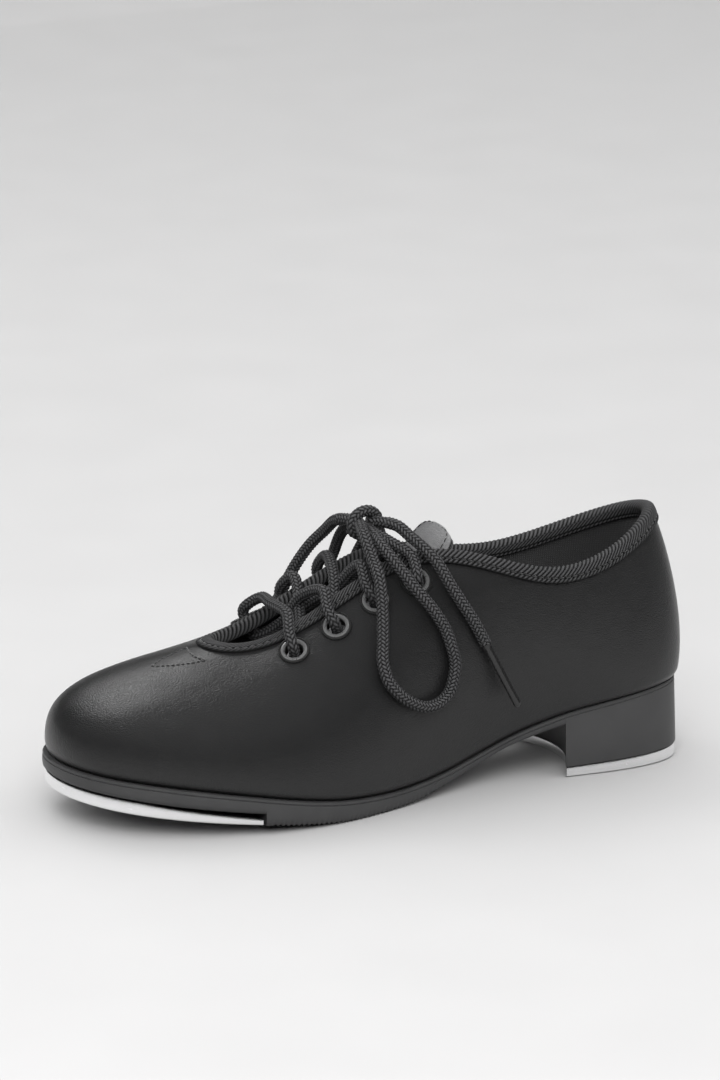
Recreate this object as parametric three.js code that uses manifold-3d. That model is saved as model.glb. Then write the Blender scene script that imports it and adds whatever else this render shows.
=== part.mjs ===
// Black lace-up tap shoe with a low block heel, left foot, size 39.
// Millimetres. The toe points to -Y, the heel to +Y, the outer (little toe) side to +X, up is +Z.
import * as THREE from 'three';
import { mergeVertices } from 'three/addons/utils/BufferGeometryUtils.js';
import Module from 'manifold-3d';

const wasm = await Module();
wasm.setup();

// ---------------------------------------------------------------- driving dimensions

const GAP = 0.3;                 // clearance kept between pieces that lie on each other
const LAYER_GAP = 0.45;          // the same between the curved layers of the upper
const LEATHER = 1.3;             // upper leather
const LINING = 0.8;              // textile lining
const STIFFENER = 0.7;           // toe puff and heel counter
const MARGIN = 12;               // lasting margin turned in under the foot
const BOARD = 2.2;               // insole board
const SOCK = 1.2;                // sock liner
const SHANK = { width: 12, thickness: 1.2, from: 24, to: 112 };
const FILLER = { from: -108, to: 10 };

const BREAST_Y = 72;             // front of the heel, at its two corners
const BREAST_HOLLOW = 9;         // how far the heel breast curves in at the middle
const HEEL_FLARE = 1.0;          // heel block spreads this much down to the tap
const HEEL_TAP = { inset: 0.8, front: 4, back: 5.4 };
const TOE_TAP = { inset: 0.8, rear: -62, rise: 45, rearThickness: 2.4, frontThickness: 5.2 };
const REBATE = { rear: 4.6, front: 5.9 };   // height of the rebate for the toe tap, above the tread

const EYELET = { hole: 3.55, barrel: 4.0, flange: 5.9, cut: 4.35, rim: 0.95, length: 4.2 };
const WASHER = { inner: 4.3, outer: 5.4, thickness: 0.6, hollow: 1.05 };
const EYELET_PLACES = [          // station along the facing, distance from the edge
  { station: 6.6, inset: 12.4 },
  { station: 6.06, inset: 11.6 },
  { station: 5.54, inset: 11.2 },
  { station: 5.0, inset: 11.0 },
];

const BINDING = { outside: 4.5, inside: 4.2, thickness: 0.9 };
const LACE = 4.6;                // round braided lace, loose
const LACE_IN_EYELETS = 4.2;     // the same lace where it is pulled tight
const AGLET = { diameter: 3.2, length: 28 };
const KNOT = [0, -0.5, 104];
const ORIGIN = [1.6, -1.3, 0];   // moves the middle of the footprint to the origin

// Stations round the shoe, from the back of the heel along the outer side to the toe (9)
// and back along the inner side. foot: where the upper meets the sole. edge: the top edge.
// rise: how the wall leaves the sole, outwards and up. lean: how the wall comes up to the edge.
// welt: how far the sole stands out past the upper.
const STATIONS = [
  { foot: [1, 130], edge: [-1, 124, 99], rise: [4, 16], lean: [2, 10, -20], welt: -1.0 },
  { foot: [24, 128], edge: [15, 117, 99], rise: [4, 16], lean: [6, 8, -20], welt: -0.8 },
  { foot: [31.5, 103], edge: [26, 95, 87.5], rise: [4, 16], lean: [6, 2, -19], welt: -0.4 },
  { foot: [28.5, 70], edge: [30, 66, 81.5], rise: [5, 16], lean: [7, 0, -20], welt: 0 },
  { foot: [26, 36], edge: [25.5, 40, 92], rise: [7, 18], lean: [12, 0, -21], welt: 0.2 },
  { foot: [35, 2.5], edge: [13.5, 10.5, 97.5], rise: [8, 20], lean: [24, 1, -19], welt: 0.3 },
  { foot: [47.5, -35], edge: [11, -18.5, 78], rise: [6.5, 20], lean: [24.5, -2, -20], welt: 0.6 },
  { foot: [44, -78], edge: [9.5, -45, 63.5], rise: [5, 20], lean: [21.5, -18, -18], welt: 0.9 },
  { foot: [24, -120], edge: [5, -61.5, 62.5], rise: [4.5, 23], lean: [12, -42, -14.5], welt: 1.0 },
  { foot: [-7.5, -131.5], edge: [-5, -65, 63], rise: [3.5, 26], lean: [-5, -51.5, -11], welt: 1.0 },
  { foot: [-34.5, -121], edge: [-13, -61, 61.5], rise: [3.5, 25], lean: [-19, -42.5, -11], welt: 1.6 },
  { foot: [-48.5, -86], edge: [-15, -44, 64.5], rise: [4, 22], lean: [-22, -25, -12], welt: 2.0 },
  { foot: [-48.5, -49], edge: [-16, -19.5, 77.5], rise: [5, 21], lean: [-22, -8.5, -14], welt: 1.8 },
  { foot: [-36.5, -6], edge: [-18, 9.5, 91], rise: [5, 22.5], lean: [-18, 0, -18], welt: 1.2 },
  { foot: [-25, 30], edge: [-26, 38, 84], rise: [4, 20], lean: [-8, 0, -22], welt: 0.8 },
  { foot: [-27.5, 70], edge: [-28.5, 66, 79], rise: [4, 16], lean: [-4, 0, -20], welt: 0.3 },
  { foot: [-32, 103], edge: [-27, 98, 87], rise: [4, 16], lean: [-3.5, 1, -20], welt: -0.4 },
  { foot: [-24, 127], edge: [-18, 119, 94.5], rise: [4, 16], lean: [-2, 7, -21], welt: -0.8 },
];
const N = STATIONS.length;

// Height of the sole's upper face and of its underside along the shoe, as [y, z].
const SEAT_LINE = [
  [-130, 23.8], [-100, 20.2], [-70, 15.6], [-45, 11], [-28, 8.4], [-8, 7], [8, 7.6], [22, 10],
  [35, 14], [50, 19.4], [62, 23], [76, 26.4], [95, 29.2], [130, 33.6],
];
const TREAD_LINE = [
  [-130, 12], [-100, 7.9], [-70, 4.5], [-45, 1.7], [-28, 0.2], [-10, 0], [6, 1.1], [20, 4.6],
  [33, 9.4], [47, 14.8], [60, 18.6], [72, 21.2],
];

// Tongue centre line: y, z of its face, half width, and how far its sides drop.
const TONGUE_LINE = [
  [-87, 53.4, 15, 4.4], [-74, 55.6, 18, 5.4], [-62, 56.4, 20, 6.8], [-45, 55.2, 21, 8.6],
  [-22, 62.2, 21.5, 8.8], [0, 72, 21, 8.8], [13, 80.5, 18, 7.5], [21, 90, 15, 5],
  [27, 96.3, 14, 3.2], [30, 98.8, 9, 1.2],
];
const TONGUE_SKIN = 1.2;
const TONGUE_PAD = 2.4;
const TONGUE_X = -2.5;

// ---------------------------------------------------------------- materials

const finish = (color, roughness, metalness = 0) =>
  new THREE.MeshStandardMaterial({ color, roughness, metalness });
const BLACK_LEATHER = finish('#1c1c1d', 0.42);
const BLACK_RUBBER = finish('#151515', 0.6);
const BLACK_TEXTILE = finish('#101011', 0.9);
const BLACK_CORD = finish('#141414', 0.8);
const BLACK_ENAMEL = finish('#0c0c0c', 0.2);
const ALUMINIUM = finish('#e4e5e6', 0.3, 1);
const STEEL = finish('#9a9b9d', 0.35, 1);
const BOARD_FIBRE = finish('#7a6650', 0.85);
const PUFF_FIBRE = finish('#6b6458', 0.8);
const FILLER_CORK = finish('#8a6f4c', 0.9);

// ---------------------------------------------------------------- small vector helpers

const add = (a, b, k = 1) => a.map((value, i) => value + k * b[i]);
const mix = (a, b, t) => a.map((value, i) => value + t * (b[i] - value));
const cross = (a, b) => [
  a[1] * b[2] - a[2] * b[1],
  a[2] * b[0] - a[0] * b[2],
  a[0] * b[1] - a[1] * b[0],
];
const size = (a) => Math.hypot(...a);
const unit = (a) => a.map((value) => value / size(a));
const range = (n, f) => Array.from({ length: n }, (_, i) => f(i));
const ease = (from, to, x) => THREE.MathUtils.smoothstep(x, from, to);

// ---------------------------------------------------------------- the last: curves and surface

// Closed uniform cubic B-spline through the control rows, t in stations.
function loopSpline(rows, t) {
  const n = rows.length;
  const i = Math.floor(t);
  const f = t - i;
  const weights = [(1 - f) ** 3, 3 * f ** 3 - 6 * f ** 2 + 4, -3 * f ** 3 + 3 * f ** 2 + 3 * f + 1, f ** 3];
  const row = (k) => rows[(((i + k - 1) % n) + n) % n];
  return rows[0].map((_, c) => weights.reduce((sum, w, k) => sum + (w * row(k)[c]) / 6, 0));
}

// Smooth height curve through [y, z] knots.
function heightAt(line, y) {
  let i = 0;
  while (i < line.length - 2 && y > line[i + 1][0]) i += 1;
  const slope = (k) => {
    const a = line[Math.max(k - 1, 0)];
    const b = line[Math.min(k + 1, line.length - 1)];
    return (b[1] - a[1]) / (b[0] - a[0]);
  };
  const [y0, z0] = line[i];
  const [y1, z1] = line[i + 1];
  const h = y1 - y0;
  const t = (y - y0) / h;
  return (2 * t ** 3 - 3 * t ** 2 + 1) * z0 + (t ** 3 - 2 * t ** 2 + t) * h * slope(i)
    + (3 * t ** 2 - 2 * t ** 3) * z1 + (t ** 3 - t ** 2) * h * slope(i + 1);
}
const seat = (y) => heightAt(SEAT_LINE, y);
const tread = (y) => Math.max(0, heightAt(TREAD_LINE, y));

const FOOT = STATIONS.map((s) => s.foot);
const EDGE = STATIONS.map((s) => s.edge);
const RISE = STATIONS.map((s) => s.rise);
const LEAN = STATIONS.map((s) => s.lean);
const WELT = STATIONS.map((s) => [s.welt]);

// Outward direction of the foot line in plan.
function footOut(u) {
  const a = loopSpline(FOOT, u - 0.01);
  const b = loopSpline(FOOT, u + 0.01);
  const d = unit(add(b, a, -1));
  return [-d[1], d[0]];
}
const OUT_SIGN = Math.sign(footOut(0)[1]);
const outward = (u) => footOut(u).map((value) => value * OUT_SIGN);

// Point of the foot line, moved in by `inset` and up by `lift` above the sole's face.
function footPoint(u, inset, lift) {
  const [x, y] = add(loopSpline(FOOT, u), outward(u), -inset);
  return [x, y, seat(y) + lift];
}

// Outer face of the upper: v = 0 at the sole, v = 1 at the top edge.
function upper(u, v) {
  const p0 = footPoint(u, 0, 0);
  const [out, up] = loopSpline(RISE, u);
  const n = outward(u);
  const p1 = add(p0, [n[0] * out, n[1] * out, up]);
  const p3 = loopSpline(EDGE, u);
  const p2 = add(p3, loopSpline(LEAN, u));
  const a = mix(p0, p1, v);
  const b = mix(p1, p2, v);
  const c = mix(p2, p3, v);
  return mix(mix(a, b, v), mix(b, c, v), v);
}

function upperNormal(u, v) {
  const e = 0.004;
  const du = add(upper(u + e, v), upper(u - e, v), -1);
  const dv = add(upper(u, Math.min(v + e, 1)), upper(u, Math.max(v - e, 0)), -1);
  return unit(cross(dv, du)).map((value) => value * OUT_SIGN);
}

// Point `depth` inside the outer face of the upper.
const skin = (u, v, depth) => add(upper(u, v), upperNormal(u, v), -depth);

// Direction in which the wall runs off its top edge.
const edgeUp = (u) => unit(add(upper(u, 1), upper(u, 0.97), -1));

// Value of v at a distance below the top edge, measured along the wall.
function below(u, distance) {
  const steps = 60;
  let travelled = 0;
  let last = upper(u, 1);
  for (let i = 1; i <= steps; i += 1) {
    const next = upper(u, 1 - i / steps);
    const step = size(add(next, last, -1));
    if (travelled + step >= distance) return 1 - (i - 1 + (distance - travelled) / step) / steps;
    travelled += step;
    last = next;
  }
  return 0;
}

// ---------------------------------------------------------------- mesh helpers

function solid(points, triangles, material, name) {
  const geometry = new THREE.BufferGeometry();
  geometry.setAttribute('position', new THREE.Float32BufferAttribute(points.flat(), 3));
  geometry.setIndex(triangles.flat());
  return finished(geometry, material, name);
}

// Welds shared corners, drops collapsed triangles and turns the faces outwards.
function finished(source, material, name) {
  const bare = new THREE.BufferGeometry();
  bare.setAttribute('position', source.getAttribute('position'));
  bare.setIndex(source.index);
  const welded = mergeVertices(bare, 1e-3);
  const index = Array.from(welded.index.array);
  const position = welded.getAttribute('position');
  const kept = [];
  const corner = (i) => new THREE.Vector3().fromBufferAttribute(position, i);
  let volume = 0;
  for (let i = 0; i < index.length; i += 3) {
    const [a, b, c] = index.slice(i, i + 3);
    if (a !== b && b !== c && c !== a) {
      kept.push([a, b, c]);
      volume += corner(a).dot(corner(b).cross(corner(c)));
    }
  }
  welded.setIndex(kept.map((t) => (volume < 0 ? [t[0], t[2], t[1]] : t)).flat());
  welded.computeVertexNormals();
  const mesh = new THREE.Mesh(welded, material);
  mesh.name = name;
  return mesh;
}

// Rows of points joined to each other; every row closes on itself.
function joinRings(rows, closed) {
  const points = rows.flat();
  const n = rows[0].length;
  const triangles = [];
  const last = closed ? rows.length : rows.length - 1;
  for (let i = 0; i < last; i += 1) {
    const here = i * n;
    const there = ((i + 1) % rows.length) * n;
    for (let j = 0; j < n; j += 1) {
      const k = (j + 1) % n;
      triangles.push([here + j, there + j, there + k], [here + j, there + k, here + k]);
    }
  }
  return { points, triangles };
}

// Closed band: a section that closes on itself, carried round the whole shoe.
function band(section, count, material, name) {
  const rows = range(count, (i) => section((i * N) / count));
  const { points, triangles } = joinRings(rows, true);
  return solid(points, triangles, material, name);
}

// Plate between two grids of points of the same size.
function sheet(face, back, material, name) {
  const columns = face[0].length;
  const rows = face.map((row, i) => [...row, ...[...back[i]].reverse()]);
  const { points, triangles } = joinRings(rows, false);
  for (const [row, flip] of [[0, true], [rows.length - 1, false]]) {
    const start = row * columns * 2;
    for (let j = 0; j < columns - 1; j += 1) {
      const a = start + j;
      const b = start + j + 1;
      const c = start + 2 * columns - 2 - j;
      const d = start + 2 * columns - 1 - j;
      triangles.push(...(flip ? [[a, b, c], [a, c, d]] : [[a, c, b], [a, d, c]]));
    }
  }
  return solid(points, triangles, material, name);
}

// Tube along a smooth curve through the points, with flat ends.
function cord(route, diameter, steps, sides, material, name) {
  const curve = new THREE.CatmullRomCurve3(route.map((p) => new THREE.Vector3(...p)), false, 'centripetal');
  const section = new THREE.Shape(range(sides, (i) => {
    const angle = (2 * Math.PI * i) / sides;
    return new THREE.Vector2(Math.cos(angle) * diameter / 2, Math.sin(angle) * diameter / 2);
  }));
  const tube = new THREE.ExtrudeGeometry(section, { steps, extrudePath: curve, bevelEnabled: false });
  tube.setIndex(range(tube.getAttribute('position').count, (i) => i));
  return finished(tube, material, name);
}

function toManifold(mesh) {
  const vertProperties = new Float32Array(mesh.geometry.getAttribute('position').array);
  const triVerts = new Uint32Array(mesh.geometry.index.array);
  return new wasm.Manifold(new wasm.Mesh({ numProp: 3, vertProperties, triVerts }));
}

function fromManifold(body, material, name) {
  const result = body.getMesh();
  const geometry = new THREE.BufferGeometry();
  geometry.setAttribute('position', new THREE.BufferAttribute(result.vertProperties, 3));
  geometry.setIndex(Array.from(result.triVerts));
  return finished(geometry, material, name);
}

function drill(mesh, tools) {
  const cut = tools.reduce((body, tool) => body.subtract(toManifold(tool)), toManifold(mesh));
  return fromManifold(cut, mesh.material, mesh.name);
}

// Turned piece: profile of [radius, height] closed on itself or on the axis.
function turned(profile, sides, place, direction, material, name) {
  const lathe = new THREE.LatheGeometry(profile.map(([r, h]) => new THREE.Vector2(r, h)), sides);
  const turn = new THREE.Quaternion().setFromUnitVectors(
    new THREE.Vector3(0, 1, 0),
    new THREE.Vector3(...direction).normalize(),
  );
  lathe.applyQuaternion(turn);
  lathe.translate(...place);
  return finished(lathe, material, name);
}

// ---------------------------------------------------------------- sole outline and plates

const OUTLINE = range(720, (i) => {
  const u = (i * N) / 720;
  return add(loopSpline(FOOT, u), outward(u), loopSpline(WELT, u)[0]);
});
const INSET_OUTLINES = new Map();

function outlineInset(inset) {
  if (!INSET_OUTLINES.has(inset)) {
    INSET_OUTLINES.set(inset, range(360, (i) => footPoint((i * N) / 360, inset, 0)));
  }
  return INSET_OUTLINES.get(inset);
}

// Inner and outer x of a closed outline at one y.
function across(outline, y) {
  const hits = [];
  outline.forEach((a, i) => {
    const b = outline[(i + 1) % outline.length];
    if ((a[1] - y) * (b[1] - y) <= 0 && a[1] !== b[1]) {
      hits.push(a[0] + ((y - a[1]) / (b[1] - a[1])) * (b[0] - a[0]));
    }
  });
  return [Math.min(...hits), Math.max(...hits)];
}

// Stations from end to end, closer together at a rounded end.
function spaced(from, to, count, roundStart, roundEnd) {
  return range(count + 1, (i) => {
    const t = i / count;
    const s = (1 - Math.cos(Math.PI * t)) / 2;
    const start = roundStart ? 1 - t : 0;
    const end = roundEnd ? t : 0;
    const blend = Math.min(1, start + end);
    return from + (to - from) * (t * (1 - blend) + s * blend);
  });
}

// Plate made of slices across the shoe. Each slice gives its y, the outline's inner and outer x,
// how far it bows back at the middle, and the heights of its top, ledge and bottom.
function slicedPlate(slices, material, name) {
  const columns = 4;
  const rows = slices.map(({ y, sides, foot = sides, bow = 0, top, ledge, bottom }) => {
    const bowed = (f) => y + bow * 4 * f * (1 - f);
    const level = (f, [x0, x1], height) => {
      const yy = bowed(f);
      return [x0 + f * (x1 - x0), yy, height(yy, y)];
    };
    const steps = range(columns + 1, (i) => i / columns);
    return [
      ...steps.map((f) => level(f, sides, top)),
      level(1, sides, ledge),
      ...[...steps].reverse().map((f) => level(f, foot, bottom)),
      level(0, sides, ledge),
    ];
  });
  const { points, triangles } = joinRings(rows, false);
  const n = rows[0].length;
  for (const start of [0, (rows.length - 1) * n]) {
    const flip = start === 0;
    const fan = [];
    const topRow = range(columns + 1, (i) => start + i);
    const bottomRow = range(columns + 1, (i) => start + 2 * columns + 2 - i);
    for (let i = 0; i < columns; i += 1) {
      fan.push([topRow[i], bottomRow[i + 1], topRow[i + 1]], [topRow[i], bottomRow[i], bottomRow[i + 1]]);
    }
    fan.push([topRow[0], start + n - 1, bottomRow[0]]);
    fan.push([topRow[columns], bottomRow[columns], start + columns + 1]);
    triangles.push(...(flip ? fan.map(([a, b, c]) => [a, c, b]) : fan));
  }
  return solid(points, triangles, material, name);
}

// Plate of even thickness on the sole's face, inside an inset outline.
function insidePlate(inset, low, high, from, to, count, material, name) {
  const outline = outlineInset(inset);
  const slices = spaced(from, to, count, true, true).map((y) => ({
    y,
    sides: across(outline, y),
    top: (yy) => seat(yy) + high,
    ledge: (yy) => seat(yy) + (low + high) / 2,
    bottom: (yy) => seat(yy) + low,
  }));
  return slicedPlate(slices, material, name);
}

const extent = (outline) => {
  const ys = outline.map((p) => p[1]);
  return [Math.min(...ys), Math.max(...ys)];
};
const TIP = 0.5;                 // distance from a rounded end to the first slice

// ---------------------------------------------------------------- sole unit, taps and screws

const [TOE_Y, BACK_Y] = extent(OUTLINE);
const heelTapTop = (y) => HEEL_TAP.front
  + ((HEEL_TAP.back - HEEL_TAP.front) * (y - BREAST_Y)) / (BACK_Y - BREAST_Y);
const waistUnderside = tread(BREAST_Y);

/** A height over the toe tap, which grows from its rear edge towards the toe. */
const overTap = (y, rear, front) => THREE.MathUtils.mapLinear(
  THREE.MathUtils.clamp(y, TOE_TAP.rear - TOE_TAP.rise, TOE_TAP.rear),
  TOE_TAP.rear, TOE_TAP.rear - TOE_TAP.rise, rear, front,
);
const rebate = (y) => tread(y) + overTap(y, REBATE.rear, REBATE.front);

function ledgeHeight(y) {
  if (y <= TOE_TAP.rear) return rebate(y);
  const share = Math.max(0, 1 - (y - TOE_TAP.rear) / (BREAST_Y - TOE_TAP.rear));
  return tread(Math.min(y, BREAST_Y)) + REBATE.rear * share;
}

function outsole() {
  const slice = (y, bottom, bow = 0, flare = 0) => {
    const sides = across(OUTLINE, y);
    return {
      y,
      sides,
      foot: [sides[0] - flare, sides[1] + flare],
      bow,
      top: (yy) => seat(yy),
      ledge: (_, y0) => ledgeHeight(y0),
      bottom,
    };
  };
  const sole = (_, y) => tread(y);
  const heel = (yy) => heelTapTop(yy) + GAP;
  const bowAt = (y) => BREAST_HOLLOW * (1 - ease(0, 40, Math.abs(y - BREAST_Y)));
  return slicedPlate([
    ...spaced(TOE_Y + TIP, TOE_TAP.rear, 9, true, false).map((y) => slice(y, (_, y0) => rebate(y0))),
    ...spaced(TOE_TAP.rear, BREAST_Y, 14, false, false).map((y) => slice(y, sole, bowAt(y))),
    ...spaced(BREAST_Y, BACK_Y - TIP, 9, false, true).map((y) => slice(y, heel, bowAt(y), HEEL_FLARE)),
  ], BLACK_RUBBER, 'outsole_unit');
}

const tapOutline = (inset) => OUTLINE.map((p, i) => add(p, outward((i * N) / 720), -inset));

function toeTap() {
  const outline = tapOutline(TOE_TAP.inset);
  const [front] = extent(outline);
  const thickness = (y) => overTap(y, TOE_TAP.rearThickness, TOE_TAP.frontThickness);
  const slices = spaced(front + TIP, TOE_TAP.rear - GAP, 10, true, false).map((y) => ({
    y,
    sides: across(outline, y),
    top: (yy) => tread(yy) + thickness(yy),
    ledge: (yy) => tread(yy) + thickness(yy) / 2,
    bottom: (yy) => tread(yy),
  }));
  return slicedPlate(slices, ALUMINIUM, 'toe_tap');
}

function heelTap() {
  const outline = tapOutline(HEEL_TAP.inset);
  const [, back] = extent(outline);
  const slices = spaced(BREAST_Y + 0.6, back - TIP, 10, false, true).map((y) => ({
    y,
    sides: across(outline, y),
    bow: BREAST_HOLLOW * (1 - ease(0, 40, y - BREAST_Y)),
    top: (yy) => heelTapTop(yy),
    ledge: (yy) => heelTapTop(yy) / 2,
    bottom: () => 0,
  }));
  return slicedPlate(slices, ALUMINIUM, 'heel_tap');
}

const SCREW = { head: 3.4, shank: 1.5, length: 7.4, sink: 0.25, clearance: 0.25 };
const TOE_SCREWS = [[-29, -74], [22, -74], [-5, -112]];
const HEEL_SCREWS = [[-17, 89], [17, 89], [0, 114]];

// Countersunk screw, seen from its head, pointing up into the sole.
const screwProfile = (grow) => {
  const { head, shank, length } = SCREW;
  return [
    [0, -grow], [head + grow, -grow], [head + grow, 0.4], [shank + grow, 2.2 + grow],
    [shank + grow, length + grow], [0, length + grow],
  ];
};

function screwPlaces() {
  const tilt = (y) => unit([0, -(tread(y + 1) - tread(y - 1)) / 2, 1]);
  return [
    ...TOE_SCREWS.map(([x, y], i) => ({
      name: `toe_tap_screw_${i + 1}`, at: [x, y, tread(y) + SCREW.sink], up: tilt(y),
    })),
    ...HEEL_SCREWS.map(([x, y], i) => ({
      name: `heel_tap_screw_${i + 1}`, at: [x, y, SCREW.sink], up: [0, 0, 1],
    })),
  ];
}

function soleParts() {
  const screws = screwPlaces();
  const sides = 14;
  const holes = screws.map(({ at, up }) => {
    const profile = screwProfile(SCREW.clearance);
    profile[0] = [0, -2];
    profile[1] = [profile[1][0], -2];
    return turned(profile, sides, at, up, STEEL, 'hole');
  });
  const toeHoles = holes.slice(0, TOE_SCREWS.length);
  const heelHoles = holes.slice(TOE_SCREWS.length);
  return [
    drill(outsole(), holes),
    drill(toeTap(), toeHoles),
    drill(heelTap(), heelHoles),
    ...screws.map(({ name, at, up }) => turned(screwProfile(0), sides, at, up, STEEL, name)),
  ];
}

// ---------------------------------------------------------------- pieces inside the bottom

function insideParts() {
  const layer = GAP + LEATHER;
  const boardLow = layer + GAP;
  const boardHigh = boardLow + BOARD;
  const boardInset = 4.0;
  const sockInset = 4.6;
  const [boardToe, boardBack] = extent(outlineInset(boardInset));
  const [sockToe, sockBack] = extent(outlineInset(sockInset));
  const shankRow = (y, height) => [-1, 1].map((side) => [
    -1 + (side * SHANK.width) / 2, y, seat(y) + height,
  ]);
  const shankYs = range(12, (i) => SHANK.from + ((SHANK.to - SHANK.from) * i) / 11);
  return [
    insidePlate(boardInset, boardLow, boardHigh, boardToe + TIP, boardBack - TIP, 22, BOARD_FIBRE,
      'insole_board'),
    insidePlate(sockInset, boardHigh + GAP, boardHigh + GAP + SOCK, sockToe + TIP, sockBack - TIP, 22,
      BLACK_TEXTILE, 'sock_liner'),
    insidePlate(MARGIN + 1, GAP, layer, FILLER.from, FILLER.to, 12, FILLER_CORK,
      'forepart_filler'),
    sheet(
      shankYs.map((y) => shankRow(y, layer)),
      shankYs.map((y) => shankRow(y, layer - SHANK.thickness)),
      STEEL,
      'steel_shank',
    ),
  ];
}

// ---------------------------------------------------------------- upper

const WALL_ROWS = [0.06, 0.15, 0.27, 0.41, 0.56, 0.71, 0.86, 1];
const WALL_COLUMNS = 48;

// How far the lining stands off for a stiffener, from 0 to 1.
function stiffened(u, v) {
  const toe = ease(6.6, 7.2, u) * (1 - ease(10.8, 11.4, u));
  const heel = 1 - ease(2.9, 3.5, Math.min(u, N - u));
  return Math.max(toe * (1 - ease(0.6, 0.72, v)), heel * (1 - ease(0.66, 0.8, v)));
}
const liningDepth = (u, v) => LEATHER + LAYER_GAP + stiffened(u, v) * (STIFFENER + LAYER_GAP);

function shell() {
  const low = GAP;
  return band((u) => [
    footPoint(u, 0, low),
    ...WALL_ROWS.map((v) => upper(u, v)),
    ...[...WALL_ROWS].reverse().map((v) => skin(u, v, LEATHER)),
    footPoint(u, LEATHER, low + LEATHER),
    footPoint(u, MARGIN, low + LEATHER),
    footPoint(u, MARGIN, low),
  ], WALL_COLUMNS, BLACK_LEATHER, 'upper_shell');
}

function lining() {
  const rows = WALL_ROWS.filter((v) => v > 0.1);
  const foot = GAP + LEATHER + GAP;
  const reach = (u) => Math.max(0.05, (foot + 0.4) / (loopSpline(RISE, u)[1] * 3));
  const vs = (u) => [reach(u), ...rows];
  return band((u) => [
    ...vs(u).map((v) => skin(u, v, liningDepth(u, v) + LINING)),
    ...vs(u).reverse().map((v) => skin(u, v, liningDepth(u, v))),
  ], WALL_COLUMNS, BLACK_TEXTILE, 'upper_lining');
}

function stiffener(firstColumn, lastColumn, name) {
  const rows = range(lastColumn - firstColumn + 1, (i) => ((firstColumn + i) * N) / WALL_COLUMNS);
  const columns = WALL_ROWS.slice(1, 5).reverse();
  const grid = (depth) => rows.map((u) => columns.map((v) => skin((u + N) % N, v, depth)));
  const face = LEATHER + LAYER_GAP;
  return sheet(grid(face), grid(face + STIFFENER), PUFF_FIBRE, name);
}

// Folded strip over the top edge, from the outside of the leather to the inside of the lining.
function binding() {
  const { outside, inside, thickness } = BINDING;
  return band((u) => {
    const wall = liningDepth(u, 1) + LINING;
    const up = edgeUp(u);
    const at = (distance, depth) => skin(u, below(u, distance), depth);
    const over = (rise, depth) => add(skin(u, 1, depth), up, rise);
    const out = -(LAYER_GAP + thickness);
    const back = wall + 1.4 * LAYER_GAP;
    return [
      at(outside, -LAYER_GAP), at(outside, out), at(outside / 2, out - 0.2), over(0, out),
      over(1.2, wall / 2), over(0, back + thickness), at(inside / 2, back + thickness),
      at(inside, back + thickness), at(inside, back), over(0, back), over(GAP, wall / 2),
      over(0, -LAYER_GAP),
    ];
  }, WALL_COLUMNS, BLACK_TEXTILE, 'topline_binding');
}

// ---------------------------------------------------------------- eyelets

function eyeletPlaces() {
  const sides = [['outer', (u) => u], ['inner', (u) => N - u]];
  return sides.flatMap(([side, station]) => EYELET_PLACES.map((place, i) => {
    const u = station(place.station);
    const v = below(u, place.inset);
    return { side, row: i + 1, u, v, at: upper(u, v), out: upperNormal(u, v) };
  }));
}
const EYELETS = eyeletPlaces();
const eyelet = (side, row) => EYELETS.find((e) => e.side === side && e.row === row);

function eyeletParts() {
  const { hole, barrel, flange, rim, length } = EYELET;
  const wall = LEATHER + LAYER_GAP + LINING;
  const ring = [
    [hole, -length], [barrel, -length], [barrel, GAP + 0.1], [flange, GAP + 0.1],
    [flange - 0.2, rim - 0.2], [flange - 1.3, rim + 0.15], [hole + 0.2, rim - 0.3], [hole, -length],
  ];
  const washerTop = -wall - WASHER.hollow;
  const washer = [
    [WASHER.inner, washerTop], [WASHER.outer, washerTop],
    [WASHER.outer, washerTop - WASHER.thickness], [WASHER.inner, washerTop - WASHER.thickness],
    [WASHER.inner, washerTop],
  ];
  return EYELETS.flatMap(({ side, row, at, out }) => [
    turned(ring, 14, at, out, BLACK_ENAMEL, `eyelet_${side}_${row}`),
    turned(washer, 14, at, out, BLACK_ENAMEL, `eyelet_washer_${side}_${row}`),
  ]);
}

function upperParts() {
  const cutter = [[0, -8], [EYELET.cut, -8], [EYELET.cut, 6], [0, 6]];
  const punches = EYELETS.map(({ at, out }) => turned(cutter, 14, at, out, STEEL, 'punch'));
  return [
    drill(shell(), punches),
    drill(lining(), punches),
    stiffener(20, 28, 'toe_puff'),
    stiffener(-7, 7, 'heel_counter'),
    binding(),
    ...eyeletParts(),
  ];
}

// ---------------------------------------------------------------- tongue

function tongueParts() {
  const rows = TONGUE_LINE;
  const columns = 6;
  const grid = (depth, shrink) => rows.map(([y, z, half, drop], i) => {
    const a = rows[Math.max(i - 1, 0)];
    const b = rows[Math.min(i + 1, rows.length - 1)];
    const n = unit([0, -(b[1] - a[1]), b[0] - a[0]]);
    return range(columns + 1, (j) => {
      const s = (2 * j) / columns - 1;
      const point = [TONGUE_X + s * (half - shrink), y, z - drop * s * s];
      return add(point, n, -depth);
    });
  });
  const padTop = TONGUE_SKIN + GAP;
  return [
    sheet(grid(0, 0), grid(TONGUE_SKIN, 0), BLACK_LEATHER, 'tongue_outer'),
    sheet(grid(padTop, 1), grid(padTop + TONGUE_PAD, 1), BLACK_TEXTILE, 'tongue_padding'),
  ];
}

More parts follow.
